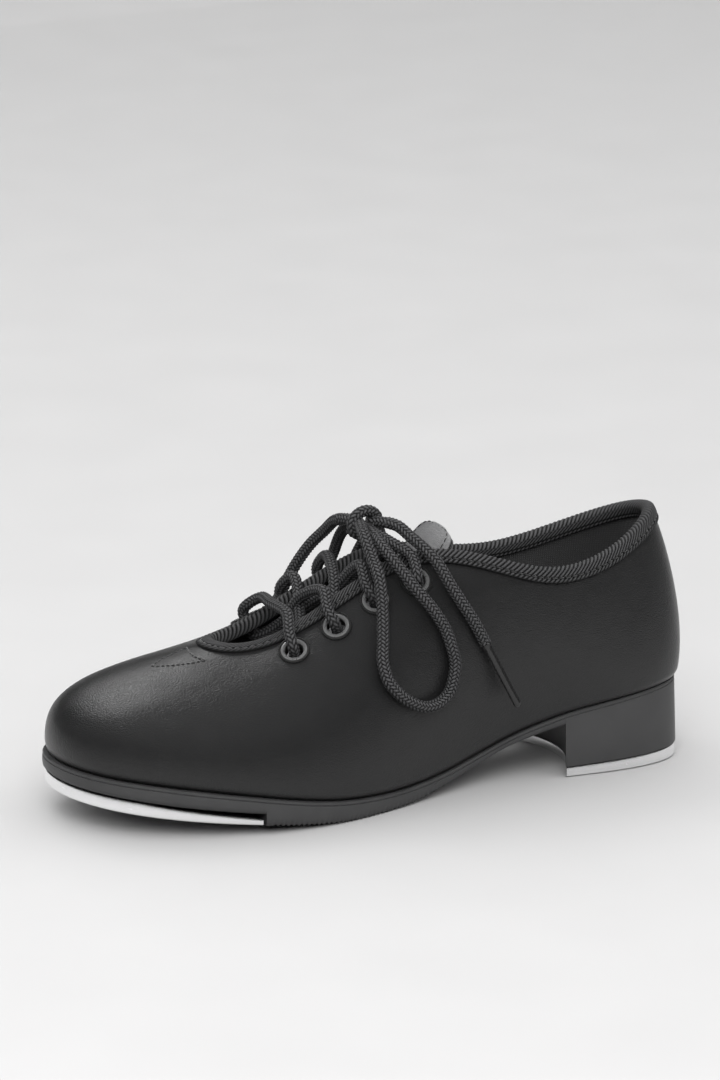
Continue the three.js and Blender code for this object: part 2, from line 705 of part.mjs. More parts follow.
// Thread of the small triangle that tacks the tongue in front of the throat.
const TACK_CORNERS = [[8.78, 0.8], [9.2, 0.93], [8.02, 0.9]];
function tackStitch() {
  const perSide = 5;
  const path = TACK_CORNERS.flatMap((corner, i) => range(perSide, (k) =>
    mix(corner, TACK_CORNERS[(i + 1) % TACK_CORNERS.length], k / perSide)));
  const section = (u, v) => {
    const up = upperNormal(u, v);
    const centre = skin(u, v, -0.65);
    return { up, centre };
  };
  const places = path.map(([u, v]) => section(u, v));
  const rows = places.map(({ up, centre }, i) => {
    const before = places[(i + places.length - 1) % places.length].centre;
    const after = places[(i + 1) % places.length].centre;
    const side = unit(cross(unit(add(after, before, -1)), up));
    return [[1, 0], [0, 1], [-1, 0], [0, -1]].map(([a, b]) =>
      add(add(centre, side, a * 0.35), up, b * 0.35));
  });
  const { points, triangles } = joinRings(rows, true);
  return solid(points, triangles, BLACK_CORD, 'tongue_tack_stitch');
}

// ---------------------------------------------------------------- laces

// A point on the axis of an eyelet, `height` outside the leather.
const onAxis = ({ at, out }, height) => add(at, out, height);

// Route through one pair of rows: out of the inside of one eyelet, across the gap between the
// facings, over the other facing's edge and down into its eyelet.
function crossing(from, to, lift) {
  const start = onAxis(from, -6.9);
  const under = add(mix(upper(from.u, 1), upper(to.u, 1), 0.12), [0, 1, -6.8]);
  const end = onAxis(to, 4.2);
  const edge = add(upper(to.u, 1), [0, 0, 1], 4.6);
  const middle = add(mix(upper(from.u, 1), upper(to.u, 1), 0.5), [0, 0, 1], lift);
  return [start, under, middle, edge, end];
}

function laceRun() {
  const inner = range(4, (i) => eyelet('inner', i + 1));
  const outer = range(4, (i) => eyelet('outer', i + 1));
  const half = (first, second, lift) => {
    const sides = [first, second];
    const route = [onAxis(first[0], 4.2), onAxis(first[0], -1)];
    for (const row of [1, 2]) {
      const from = sides[(row + 1) % 2][row - 1];
      const to = sides[row % 2][row];
      route.push(...crossing(from, to, lift), onAxis(to, -1));
    }
    const from = first[2];
    const to = second[3];
    const middle = add(mix(upper(from.u, 1), upper(to.u, 1), 0.5), [0, 0, 1], lift - 5.2);
    route.push(onAxis(from, -6.9), middle, onAxis(to, -6.9), onAxis(to, -1), onAxis(to, 4));
    const side = Math.sign(to.at[0]);
    route.push([side * 20, 9.5, 94.5], [side * 15, 6.5, 97.3], [side * 11.5, 3.8, 99]);
    return route;
  };
  const left = half(inner, outer, 3.2);
  const right = half(outer, inner, -2.6);
  const bar = add(mix(upper(outer[0].u, 1), upper(inner[0].u, 1), 0.5), [0, -2, 6.5]);
  const overEdge = (e) => add(upper(e.u, 1), [0, -1, 5]);
  const route = [...left.reverse(), overEdge(inner[0]), bar, overEdge(outer[0]), ...right];
  return cord(route, LACE_IN_EYELETS, 124, 6, BLACK_CORD, 'lace_laced_run');
}

function knot() {
  const ring = new THREE.TorusGeometry(4.3, LACE / 2 - 0.1, 8, 16);
  ring.rotateY(Math.PI / 2);
  const core = new THREE.CapsuleGeometry(3.1, 11, 3, 10);
  core.rotateZ(Math.PI / 2);
  const [a, b] = [ring, core].map((geometry) => {
    geometry.translate(...KNOT);
    return toManifold(finished(geometry, BLACK_CORD, 'knot_piece'));
  });
  return fromManifold(a.add(b), BLACK_CORD, 'lace_knot');
}

// Routes of the bow. A point is either [x, y, z], or a place on the upper with its height above it.
const lying = (u, v, height) => skin(u, v, -height);
const OUTER_LOOP = [
  [10, -6.6, 103.5], [14.5, -7, 100.5], [19.5, -6.6, 94.8], [25.6, -6.6, 88.6], lying(5.5, 0.8, 6),
  lying(5.54, 0.7, 3.8), lying(5.56, 0.62, 3.3), lying(5.5, 0.54, 3.1), lying(5.36, 0.475, 3.1),
  lying(5.2, 0.43, 3.1), lying(5.02, 0.4, 3.1), lying(4.84, 0.4, 3.1), lying(4.7, 0.43, 3.1),
  lying(4.64, 0.48, 3.1), lying(4.62, 0.54, 3.1), lying(4.67, 0.6, 3.2), lying(4.75, 0.67, 3.4),
  lying(4.9, 0.75, 4.4), [29.6, 7.4, 83.4], [25.8, 3.8, 89.4], [21, 0.4, 95.2], [15.5, -1.2, 99],
  [10, -1.2, 101],
];
const OUTER_TAIL = [
  [6.4, 5.6, 105], [11, 8.2, 104.2], [16, 10.8, 101.2], [21, 13.8, 97.8], [25.4, 17.4, 92.8],
  lying(4.62, 0.84, 4), lying(4.5, 0.77, 3.4), lying(4.34, 0.69, 3.1), lying(4.18, 0.6, 3.1),
];
const INNER_LOOP = [
  [-10, -6.6, 103.8], [-15, -7, 102], [-22, -8, 96.6], [-28.5, -11.5, 89.5], [-34, -15.5, 80],
  [-38.5, -19.5, 68.5], [-42.5, -22, 57.5], lying(12.66, 0.5, 4), lying(12.78, 0.45, 3.3),
  lying(12.95, 0.43, 3.1), lying(13.12, 0.45, 3.1), lying(13.24, 0.51, 3.2), lying(13.3, 0.6, 3.6),
  lying(13.28, 0.7, 4.4), [-31.5, -1.2, 79], [-27, -1.6, 87], [-21, -1.6, 94.8],
  [-15.5, -1.4, 99], [-10, -1.2, 101],
];
const INNER_TAIL = [
  [-6.4, 5.6, 104.8], [-11, 8, 103.8], [-16.5, 11, 100.4], [-22, 14.6, 95.6], [-27, 18.6, 89],
  lying(13.5, 0.82, 4.4), lying(13.62, 0.74, 3.6), lying(13.76, 0.66, 3.1), lying(13.9, 0.56, 3.1),
];

function bowParts() {
  const sides = [['outer', OUTER_LOOP, OUTER_TAIL], ['inner', INNER_LOOP, INNER_TAIL]];
  return sides.flatMap(([side, loop, tail]) => {
    const end = tail[tail.length - 1];
    const direction = unit(add(end, tail[tail.length - 2], -1));
    const start = add(end, direction, GAP);
    const radius = AGLET.diameter / 2;
    const tip = [
      [0, 0], [radius, 0], [radius, AGLET.length - 0.6], [radius - 0.5, AGLET.length], [0, AGLET.length],
    ];
    return [
      cord(loop, LACE, 32, 8, BLACK_CORD, `lace_loop_${side}`),
      cord(tail, LACE, 14, 8, BLACK_CORD, `lace_tail_${side}`),
      turned(tip, 10, start, direction, BLACK_ENAMEL, `aglet_${side}`),
    ];
  });
}

// ---------------------------------------------------------------- the shoe

const shoe = new THREE.Group();
shoe.name = 'tap_shoe';
shoe.position.set(...ORIGIN);
shoe.add(
  ...soleParts(),
  ...insideParts(),
  ...upperParts(),
  ...tongueParts(),
  tackStitch(),
  laceRun(),
  knot(),
  ...bowParts(),
);

export default shoe;
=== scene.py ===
"""Black lace-up tap shoe with a low heel, left foot: a Blender add-on that is run as a script.

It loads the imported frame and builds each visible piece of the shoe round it.
Shapes are worked out in millimetres, as the shoe's last is drawn, and placed in metres.
The toe points to -Y, the outer (little toe) side is +X and up is +Z.
"""

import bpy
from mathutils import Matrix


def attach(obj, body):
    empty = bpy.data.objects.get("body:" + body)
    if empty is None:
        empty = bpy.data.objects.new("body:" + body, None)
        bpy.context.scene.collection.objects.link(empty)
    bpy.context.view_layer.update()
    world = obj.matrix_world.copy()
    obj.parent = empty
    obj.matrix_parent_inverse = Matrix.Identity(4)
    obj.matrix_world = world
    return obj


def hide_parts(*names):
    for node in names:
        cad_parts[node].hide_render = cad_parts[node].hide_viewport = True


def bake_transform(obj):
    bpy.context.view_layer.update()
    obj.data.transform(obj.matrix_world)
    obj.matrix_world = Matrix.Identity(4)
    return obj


bl_info = {
    "name": "Tap Shoe",
    "version": (1, 0, 0),
    "blender": (4, 5, 0),
    "location": "3D View > Sidebar > Tap Shoe",
    "description": "Builds a black lace-up tap shoe piece by piece",
    "category": "Add Mesh",
}

import math

import bmesh
import bpy
import numpy as np
from bpy.props import FloatProperty, FloatVectorProperty, PointerProperty
from mathutils import Vector

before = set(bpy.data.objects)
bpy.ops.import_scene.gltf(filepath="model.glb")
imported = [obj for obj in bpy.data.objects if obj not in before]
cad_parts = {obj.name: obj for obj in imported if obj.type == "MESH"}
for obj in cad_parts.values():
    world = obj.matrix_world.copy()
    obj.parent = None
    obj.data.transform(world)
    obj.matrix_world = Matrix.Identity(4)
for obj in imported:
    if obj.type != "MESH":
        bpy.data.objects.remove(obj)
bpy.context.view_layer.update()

# ---------------------------------------------------------------- driving dimensions, mm

MM = 0.001
ORIGIN = np.array([1.6, -1.3, 0.0])  # moves the middle of the footprint to the origin
GAP = 0.3
LAYER_GAP = 0.45
LEATHER = 1.3
LINING = 0.8
STIFFENER = 0.7
MARGIN = 12.0
BOARD = 2.2
SOCK = 1.2
BREAST_Y = 72.0
BREAST_HOLLOW = 9.0
HEEL_FLARE = 1.0
HEEL_TAP_INSET = 0.8
HEEL_TAP_FRONT = 4.0
HEEL_TAP_BACK = 5.4
TOE_TAP_INSET = 0.8
TOE_TAP_REAR = -62.0
TOE_TAP_RISE = 45.0
TOE_TAP_THIN = 2.4
TOE_TAP_THICK = 5.2
REBATE_REAR = 4.6
REBATE_FRONT = 5.9
EYELET_CUT = 4.9
LACE = 4.6
LACE_IN_EYELETS = 4.2
EYELET_PLACES = ((6.6, 12.4), (6.06, 11.6), (5.54, 11.2), (5.0, 11.0))  # station, inset
SCREWS = {
    "toe": ((-29, -74), (22, -74), (-5, -112)),
    "heel": ((-17, 89), (17, 89), (0, 114)),
}

# Stations round the shoe, from the back of the heel along the outer side to the toe (9) and
# back along the inner side: foot line x, y; top edge x, y, z; how the wall rises out of the
# sole, outwards and up; how it leans in to the edge, x, y, z; how far the sole stands out.
STATIONS = np.array([
    (1, 130, -1, 124, 99, 4, 16, 2, 10, -20, -1.0),
    (24, 128, 15, 117, 99, 4, 16, 6, 8, -20, -0.8),
    (31.5, 103, 26, 95, 87.5, 4, 16, 6, 2, -19, -0.4),
    (28.5, 70, 30, 66, 81.5, 5, 16, 7, 0, -20, 0),
    (26, 36, 25.5, 40, 92, 7, 18, 12, 0, -21, 0.2),
    (35, 2.5, 13.5, 10.5, 97.5, 8, 20, 24, 1, -19, 0.3),
    (47.5, -35, 11, -18.5, 78, 6.5, 20, 24.5, -2, -20, 0.6),
    (44, -78, 9.5, -45, 63.5, 5, 20, 21.5, -18, -18, 0.9),
    (24, -120, 5, -61.5, 62.5, 4.5, 23, 12, -42, -14.5, 1.0),
    (-7.5, -131.5, -5, -65, 63, 3.5, 26, -5, -51.5, -11, 1.0),
    (-34.5, -121, -13, -61, 61.5, 3.5, 25, -19, -42.5, -11, 1.6),
    (-48.5, -86, -15, -44, 64.5, 4, 22, -22, -25, -12, 2.0),
    (-48.5, -49, -16, -19.5, 77.5, 5, 21, -22, -8.5, -14, 1.8),
    (-36.5, -6, -18, 9.5, 91, 5, 22.5, -18, 0, -18, 1.2),
    (-25, 30, -26, 38, 84, 4, 20, -8, 0, -22, 0.8),
    (-27.5, 70, -28.5, 66, 79, 4, 16, -4, 0, -20, 0.3),
    (-32, 103, -27, 98, 87, 4, 16, -3.5, 1, -20, -0.4),
    (-24, 127, -18, 119, 94.5, 4, 16, -2, 7, -21, -0.8),
], float)
FOOT = STATIONS[:, 0:2]
EDGE = STATIONS[:, 2:5]
RISE = STATIONS[:, 5:7]
LEAN = STATIONS[:, 7:10]
WELT = STATIONS[:, 10:11]
ROUND = len(STATIONS)

# Height of the sole's upper face and of its underside along the shoe, as y, z.
SEAT_LINE = np.array([
    (-130, 23.8), (-100, 20.2), (-70, 15.6), (-45, 11), (-28, 8.4), (-8, 7), (8, 7.6), (22, 10),
    (35, 14), (50, 19.4), (62, 23), (76, 26.4), (95, 29.2), (130, 33.6),
])
TREAD_LINE = np.array([
    (-130, 12), (-100, 7.9), (-70, 4.5), (-45, 1.7), (-28, 0.2), (-10, 0), (6, 1.1), (20, 4.6),
    (33, 9.4), (47, 14.8), (60, 18.6), (72, 21.2),
])

# Tongue centre line: y, z of its face, half width, and how far its sides drop.
TONGUE_LINE = np.array([
    (-87, 53.4, 15, 4.4), (-74, 55.6, 18, 5.4), (-62, 56.4, 20, 6.8), (-45, 55.2, 21, 8.6),
    (-22, 62.2, 21.5, 8.8), (0, 72, 21, 8.8), (13, 80.5, 18, 7.5), (21, 90, 15.4, 5),
    (27, 96, 15.4, 3.2), (30.4, 98.8, 13, 1.6), (31.6, 99.6, 6, 0.4),
])
TONGUE_X = -2.5
TONGUE_SKIN = 1.2
TONGUE_PAD = 2.4
TACK_CORNERS = np.array([(8.78, 0.8), (9.2, 0.94), (8.05, 0.91)])  # station, height share

# ---------------------------------------------------------------- the last: curves and surface


def column(values):
    return np.asarray(values, float)[..., None]


def unit(vectors):
    return vectors / np.maximum(np.linalg.norm(vectors, axis=-1, keepdims=True), 1e-12)


def ease(low, high, x):
    """Smooth step from 0 at low to 1 at high."""
    t = np.clip((x - low) / (high - low), 0, 1)
    return t * t * (3 - 2 * t)


def loop_spline(rows, t):
    """Closed uniform cubic B-spline through the control rows, t in stations."""
    t = np.asarray(t, float)
    i = np.floor(t).astype(int)
    f = column(t - i)
    weights = ((1 - f) ** 3, 3 * f ** 3 - 6 * f ** 2 + 4, 1 + 3 * f + 3 * f ** 2 - 3 * f ** 3, f ** 3)
    return sum(w * rows[(i + k - 1) % len(rows)] for k, w in enumerate(weights)) / 6


def height_at(line, y):
    """Smooth curve through knots: the first column is y, the others are looked up."""
    y = np.asarray(y, float)
    i = np.clip(np.searchsorted(line[:, 0], y) - 1, 0, len(line) - 2)
    ends = np.arange(len(line))
    before = line[np.maximum(ends - 1, 0)]
    after = line[np.minimum(ends + 1, len(line) - 1)]
    slopes = (after - before)[:, 1:] / column((after - before)[:, 0])
    h = column(line[i + 1, 0] - line[i, 0])
    t = column(y - line[i, 0]) / h
    here = (2 * t ** 3 - 3 * t ** 2 + 1) * line[i, 1:] + (t ** 3 - 2 * t ** 2 + t) * h * slopes[i]
    there = (3 * t ** 2 - 2 * t ** 3) * line[i + 1, 1:] + (t ** 3 - t ** 2) * h * slopes[i + 1]
    return here + there


def seat(y):
    return height_at(SEAT_LINE, y)[..., 0]


def tread(y):
    return np.maximum(0, height_at(TREAD_LINE, np.minimum(y, BREAST_Y))[..., 0])


def outward(u):
    """Direction in plan that leaves the foot line."""
    along = unit(loop_spline(FOOT, u + 0.01) - loop_spline(FOOT, u - 0.01))
    return np.stack([-along[..., 1], along[..., 0]], -1)


def foot_point(u, inset, lift):
    """Point of the foot line, moved in and lifted off the sole's face."""
    plan = loop_spline(FOOT, u) - outward(u) * inset
    return np.concatenate([plan, column(seat(plan[..., 1]) + lift)], -1)


def upper(u, v):
    """Outer face of the upper: v is 0 at the sole and 1 at the top edge."""
    u, v = np.broadcast_arrays(np.asarray(u, float), np.asarray(v, float))
    rise = loop_spline(RISE, u)
    p0 = foot_point(u, 0, 0)
    p1 = p0 + np.concatenate([outward(u) * rise[..., :1], rise[..., 1:]], -1)
    p3 = loop_spline(EDGE, u)
    p2 = p3 + loop_spline(LEAN, u)
    t = column(v)
    return (1 - t) ** 3 * p0 + 3 * t * (1 - t) ** 2 * p1 + 3 * t * t * (1 - t) * p2 + t ** 3 * p3


def upper_normal(u, v):
    e = 0.004
    du = upper(u + e, v) - upper(u - e, v)
    dv = upper(u, np.minimum(v + e, 1)) - upper(u, np.maximum(v - e, 0))
    return unit(np.cross(dv, du))


def skin(u, v, depth):
    """Point this far inside the outer face of the upper."""
    u, v = np.broadcast_arrays(np.asarray(u, float), np.asarray(v, float))
    return upper(u, v) - upper_normal(u, v) * column(np.broadcast_to(depth, u.shape))


def below(u, distance):
    """Height share at a distance below the top edge, measured down the wall."""
    u = np.atleast_1d(np.asarray(u, float))
    distance = np.broadcast_to(distance, u.shape)
    shares = np.linspace(1, 0, 121)
    wall = upper(u[:, None], shares[None, :])
    steps = np.linalg.norm(np.diff(wall, axis=1), axis=-1)
    travelled = np.concatenate([np.zeros((len(u), 1)), np.cumsum(steps, axis=1)], 1)
    return np.array([np.interp(d, run, shares) for d, run in zip(distance, travelled)])


def stiffened(u, v):
    """How far the lining stands off for the toe puff and the heel counter, from 0 to 1."""
    toe = ease(6.6, 7.2, u) * (1 - ease(10.8, 11.4, u)) * (1 - ease(0.6, 0.72, v))
    heel = (1 - ease(2.9, 3.5, np.minimum(u, ROUND - u))) * (1 - ease(0.66, 0.8, v))
    return np.maximum(toe, heel)


def lining_depth(u, v):
    return LEATHER + LAYER_GAP + stiffened(u, v) * (STIFFENER + LAYER_GAP)


def eyelets():
    """Side, row, station, place on the leather and outward direction of each eyelet."""
    places = []
    for side, mirrored in (("outer", False), ("inner", True)):
        for row, (station, inset) in enumerate(EYELET_PLACES, 1):
            u = ROUND - station if mirrored else station
            v = below(u, inset)[0]
            places.append((side, row, u, upper(u, v), upper_normal(u, v)))
    return places


EYELETS = eyelets()

# ---------------------------------------------------------------- mesh helpers


def placed(points):
    """Millimetres on the last to metres in the frame."""
    return (np.asarray(points, float).reshape(-1, 3) + ORIGIN) * MM


def grid_quads(rows, columns, wrap_rows=False, wrap_columns=False):
    i = np.arange(rows if wrap_rows else rows - 1)[:, None]
    j = np.arange(columns if wrap_columns else columns - 1)[None, :]
    right = (j + 1) % columns
    up = (i + 1) % rows
    corners = np.broadcast_arrays(
        i * columns + j, i * columns + right, up * columns + right, up * columns + j)
    return np.stack(corners, -1).reshape(-1, 4)


def joined(parts):
    """Several (points, quads) shapes as one."""
    points, quads, start = [], [], 0
    for shape_points, shape_quads in parts:
        points.append(np.reshape(shape_points, (-1, 3)))
        quads.append(shape_quads + start)
        start += len(points[-1])
    return np.concatenate(points), np.concatenate(quads)


def new_piece(name, shape, material, slot, body="root", replaces=(), attributes=None, sharp=None):
    """Makes a smooth mesh piece in the frame, with its material, and hides the frame's parts that it
    replaces.
    """
    points, quads = shape
    mesh = bpy.data.meshes.new(name)
    mesh.from_pydata(placed(points).tolist(), [], np.asarray(quads).tolist())
    for key, values in (attributes or {}).items():
        layer = mesh.attributes.new(key, "FLOAT", "POINT")
        layer.data.foreach_set("value", np.asarray(values, np.float32).ravel())
    work = bmesh.new()
    work.from_mesh(mesh)
    bmesh.ops.remove_doubles(work, verts=work.verts, dist=2e-6)
    bmesh.ops.recalc_face_normals(work, faces=work.faces)
    work.to_mesh(mesh)
    work.free()
    mesh.shade_smooth()
    if sharp is not None:
        mesh.set_sharp_from_angle(angle=math.radians(sharp))
    mesh.materials.append(material)
    piece = bpy.data.objects.new(name, mesh)
    bpy.context.scene.collection.objects.link(piece)
    if body:
        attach(piece, body)
    if replaces:
        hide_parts(*replaces)
    return piece


def turned(profile, place, direction, sides=64, closed=False):
    """Turned shape: a profile of (radius, height) spun about a direction."""
    up = unit(np.asarray(direction, float))
    side = unit(np.cross(up, (0.31, 0.87, 0.39)))
    front = np.cross(up, side)
    angle = np.linspace(0, 2 * math.pi, sides, endpoint=False)
    ring = np.cos(angle)[:, None] * side + np.sin(angle)[:, None] * front
    profile = np.asarray(profile, float)
    points = np.asarray(place) + profile[:, :1, None] * ring[None] + profile[:, 1:, None] * up
    return points.reshape(-1, 3), grid_quads(len(profile), sides, closed, True)


def smooth_route(points, step=0.3):
    """Even steps along a centripetal curve through the points."""
    points = np.asarray(points, float)
    run = np.concatenate([[2 * points[0] - points[1]], points, [2 * points[-1] - points[-2]]])
    fine = []
    for i in range(1, len(run) - 2):
        p0, p1, p2, p3 = run[i - 1:i + 3]
        k0, k1, k2 = (max(np.linalg.norm(b - a), 1e-4) ** 0.5 for a, b in ((p0, p1), (p1, p2), (p2, p3)))
        m1 = ((p1 - p0) / k0 - (p2 - p0) / (k0 + k1) + (p2 - p1) / k1) * k1
        m2 = ((p2 - p1) / k1 - (p3 - p1) / (k1 + k2) + (p3 - p2) / k2) * k1
        t = column(np.linspace(0, 1, 40, endpoint=False))
        fine.append((2 * t ** 3 - 3 * t ** 2 + 1) * p1 + (t ** 3 - 2 * t ** 2 + t) * m1
                    + (3 * t ** 2 - 2 * t ** 3) * p2 + (t ** 3 - t ** 2) * m2)
    fine = np.concatenate([*fine, points[-1:]])
    run_length = np.concatenate([[0], np.cumsum(np.linalg.norm(np.diff(fine, axis=0), axis=1))])
    even = np.linspace(0, run_length[-1], max(8, round(run_length[-1] / step)))
    return np.stack([np.interp(even, run_length, fine[:, k]) for k in range(3)], 1)


def length_of(path):
    return float(np.linalg.norm(np.diff(path, axis=0), axis=1).sum())


def carried_frames(path):
    """Side and up directions carried along a path without twist."""
    along = unit(np.gradient(path, axis=0))
    side = unit(np.cross(along[0], (0.2, 0.3, 1.0)))
    sides = []
    for direction in along:
        side = side - direction * side.dot(direction)
        side = side / np.linalg.norm(side)
        sides.append(side)
    sides = np.array(sides)
    return sides, np.cross(along, sides)


def braided_tube(path, diameter, carriers=8, pitch=6.4, around=48):
    """Round braid along a path, each strand passing over two and under two.

    Returns its shape and, for each point, how high its plait stands.
    """
    sides, ups = carried_frames(path)
    angle = np.linspace(0, 2 * math.pi, around, endpoint=False)
    travelled = np.linspace(0, length_of(path), len(path))[:, None]
    turns = angle[None, :] / (2 * math.pi) * carriers
    right = turns + travelled * carriers / (pitch * 2)
    left = turns - travelled * carriers / (pitch * 2)
    phase = (np.floor(right) + np.floor(left)) % 4
    over = phase < 2
    across = np.where(over, right % 1, left % 1)
    along = np.where(over, left % 1 + phase, right % 1 + phase - 2) / 2
    # The plait height also sets the yarn's painted highlight on the crowns and its painted shade in the
    # hollows.
    plait = np.sin(math.pi * across) ** 0.7 * (0.35 + 0.65 * np.sin(math.pi * along) ** 0.7)
    radius = diameter / 2 - 0.4 + 0.5 * plait
    ring = np.cos(angle)[None, :, None] * sides[:, None] + np.sin(angle)[None, :, None] * ups[:, None]
    points = path[:, None] + ring * radius[..., None]
    count = len(path)
    ends = np.stack([path[0], path[-1]])
    quads = grid_quads(count, around, False, True)
    fans = []
    for base, hub in ((0, count * around), ((count - 1) * around, count * around + 1)):
        for j in range(0, around, 2):
            fans.append((base + j, base + j + 1, base + (j + 2) % around, hub))
    shape = np.concatenate([points.reshape(-1, 3), ends]), np.concatenate([quads, fans])
    return shape, np.concatenate([plait.ravel(), [0, 0]])


def braided_piece(name, paths, diameter, material, **said):
    """One piece made of several braided runs."""
    tubes = [braided_tube(path, diameter) for path in paths]
    shape = joined([tube[0] for tube in tubes])
    plait = np.concatenate([tube[1] for tube in tubes])
    return new_piece(name, shape, material, "lace_braid", attributes={"plait": plait}, **said)


def stitches(places, ups, length=2.3, gap=0.7, radius=0.34):
    """Row of raised stitches along a path, each dipping into the surface at both ends."""
    run = np.concatenate([[0], np.cumsum(np.linalg.norm(np.diff(places, axis=0), axis=1))])
    count = max(1, int(run[-1] / (length + gap)))
    pitch = run[-1] / count
    rows, sides = 7, 8
    angle = np.linspace(0, 2 * math.pi, sides, endpoint=False)
    made = []
    for i in range(count):
        share = np.linspace(0, 1, rows)
        at = i * pitch + (pitch - length) / 2 + share * length
        centre = np.stack([np.interp(at, run, places[:, k]) for k in range(3)], 1)
        up = unit(np.stack([np.interp(at, run, ups[:, k]) for k in range(3)], 1))
        arch = np.sin(math.pi * share)
        centre = centre + up * column(0.22 * arch - 0.12)
        along = unit(centre[-1] - centre[0])
        side = unit(np.cross(along, up))
        thick = column(radius * (0.45 + 0.55 * arch ** 0.5))
        ring = (np.cos(angle)[None, :, None] * side[:, None] + np.sin(angle)[None, :, None] * up[:, None])
        made.append((centre[:, None] + ring * thick[:, None], grid_quads(rows, sides, False, True)))
    return joined(made)


# ---------------------------------------------------------------- sole outlines


class Outline:
    """Closed line in plan round the sole, with the direction that leaves it at each point."""

    def __init__(self, stand_out=True, inset=0.0, count=2160):
        u = np.arange(count) * ROUND / count
        for y in (TOE_TAP_REAR, BREAST_Y):
            u = self.with_crossing(u, y)
        welt = loop_spline(WELT, u)[:, 0] if stand_out else 0
        self.out = outward(u)
        self.plan = loop_spline(FOOT, u) + self.out * column(welt - inset)

    @staticmethod
    def with_crossing(u, y):
        """Adds a close pair of stations on each side of the shoe where the foot line crosses y."""
        fine = np.linspace(0, ROUND, 20000)
        level = loop_spline(FOOT, fine)[:, 1] - y
        hits = fine[:-1][level[:-1] * level[1:] <= 0]
        return np.sort(np.concatenate([u, hits - 2e-3, hits + 2e-3]))

    def middle(self, y):
        """Middle x of the outline at each y."""
        turn = int(np.argmin(self.plan[:, 1]))
        top = int(np.argmax(self.plan[:, 1]))
        plan = np.roll(self.plan, -top, axis=0)
        turn = (turn - top) % len(plan)
        outer = plan[:turn + 1][::-1]
        inner = plan[turn:]
        return (np.interp(y, outer[:, 1], outer[:, 0]) + np.interp(y, inner[:, 1], inner[:, 0])) / 2


CAP_SHARES = (0.0, 0.25, 0.5, 0.72, 0.88, 0.96)


def slab(plan, walls, centre, low, high):
    """Closed slab: walls are (plan, heights) from the lower edge up, capped towards a centre."""
    rows = []
    lower, upper_row = walls[0], walls[-1]
    for share in CAP_SHARES:
        spread = centre + (lower[0] - centre) * share
        rows.append(np.concatenate([spread, column(low(spread[:, 1]))], 1))
    rows += [np.concatenate([place, column(height)], 1) for place, height in walls]
    for share in reversed(CAP_SHARES):
        spread = centre + (upper_row[0] - centre) * share
        rows.append(np.concatenate([spread, column(high(spread[:, 1]))], 1))
    return np.stack(rows).reshape(-1, 3), grid_quads(len(rows), len(plan), False, True)


def line_slab(outline, profile, low, high):
    """Slab over the whole sole. The profile is rows of (share of the height, stand-out)."""
    y = outline.plan[:, 1]
    centre = np.stack([outline.middle(y), y], 1)
    walls = []
    for share, out, shift in profile:
        place = outline.plan + outline.out * column(np.broadcast_to(out, y.shape))
        walls.append((place, low(y) + (high(y) - low(y)) * share + shift))
    walls[0] = (walls[0][0], low(walls[0][0][:, 1]))
    walls[-1] = (walls[-1][0], high(walls[-1][0][:, 1]))
    return slab(outline.plan, walls, centre, low, high)


def over_tap(y, rear, front):
    """A height over the toe tap, which grows from its rear edge towards the toe."""
    share = np.clip((TOE_TAP_REAR - y) / TOE_TAP_RISE, 0, 1)
    return rear + (front - rear) * share


def heel_tap_top(y):
    back = 130.0
    return HEEL_TAP_FRONT + (HEEL_TAP_BACK - HEEL_TAP_FRONT) * (y - BREAST_Y) / (back - BREAST_Y)


def heel_outline(outline, inset):
    """Plan of the heel block: the sole's outline behind the breast, closed by the hollow breast."""
    keep = outline.plan[:, 1] >= BREAST_Y - 1e-3
    shift = int(np.argmin(keep))
    plan = np.roll(outline.plan, -shift, axis=0)[np.roll(keep, -shift)]
    out = np.roll(outline.out, -shift, axis=0)[np.roll(keep, -shift)]
    plan = plan - out * inset
    first, last = plan[-1], plan[0]
    f = np.linspace(0, 1, 82)[1:-1]
    arc = first + (last - first) * column(f)
    arc[:, 1] += BREAST_HOLLOW * 4 * f * (1 - f)
    slope = -BREAST_HOLLOW * 4 * (1 - 2 * f) / (last - first)[0]
    front = unit(np.stack([-slope, -np.ones_like(f)], 1))
    front[:, 0] *= -1
    return np.concatenate([plan, arc]), np.concatenate([out, front])


# ---------------------------------------------------------------- shader helpers


class Value:
    """A shader socket that sums, differences and products can be written on."""

    def __init__(self, board, socket):
        self.board = board
        self.socket = socket

    def maths(self, operation, first, second):
        return self.board.node("ShaderNodeMath", {"operation": operation}, {0: first, 1: second})

    def __add__(self, other):
        return self.maths("ADD", self, other)

    def __sub__(self, other):
        return self.maths("SUBTRACT", self, other)

    def __rsub__(self, other):
        return self.maths("SUBTRACT", other, self)

    def __mul__(self, other):
        return self.maths("MULTIPLY", self, other)

    __radd__ = __add__
    __rmul__ = __mul__


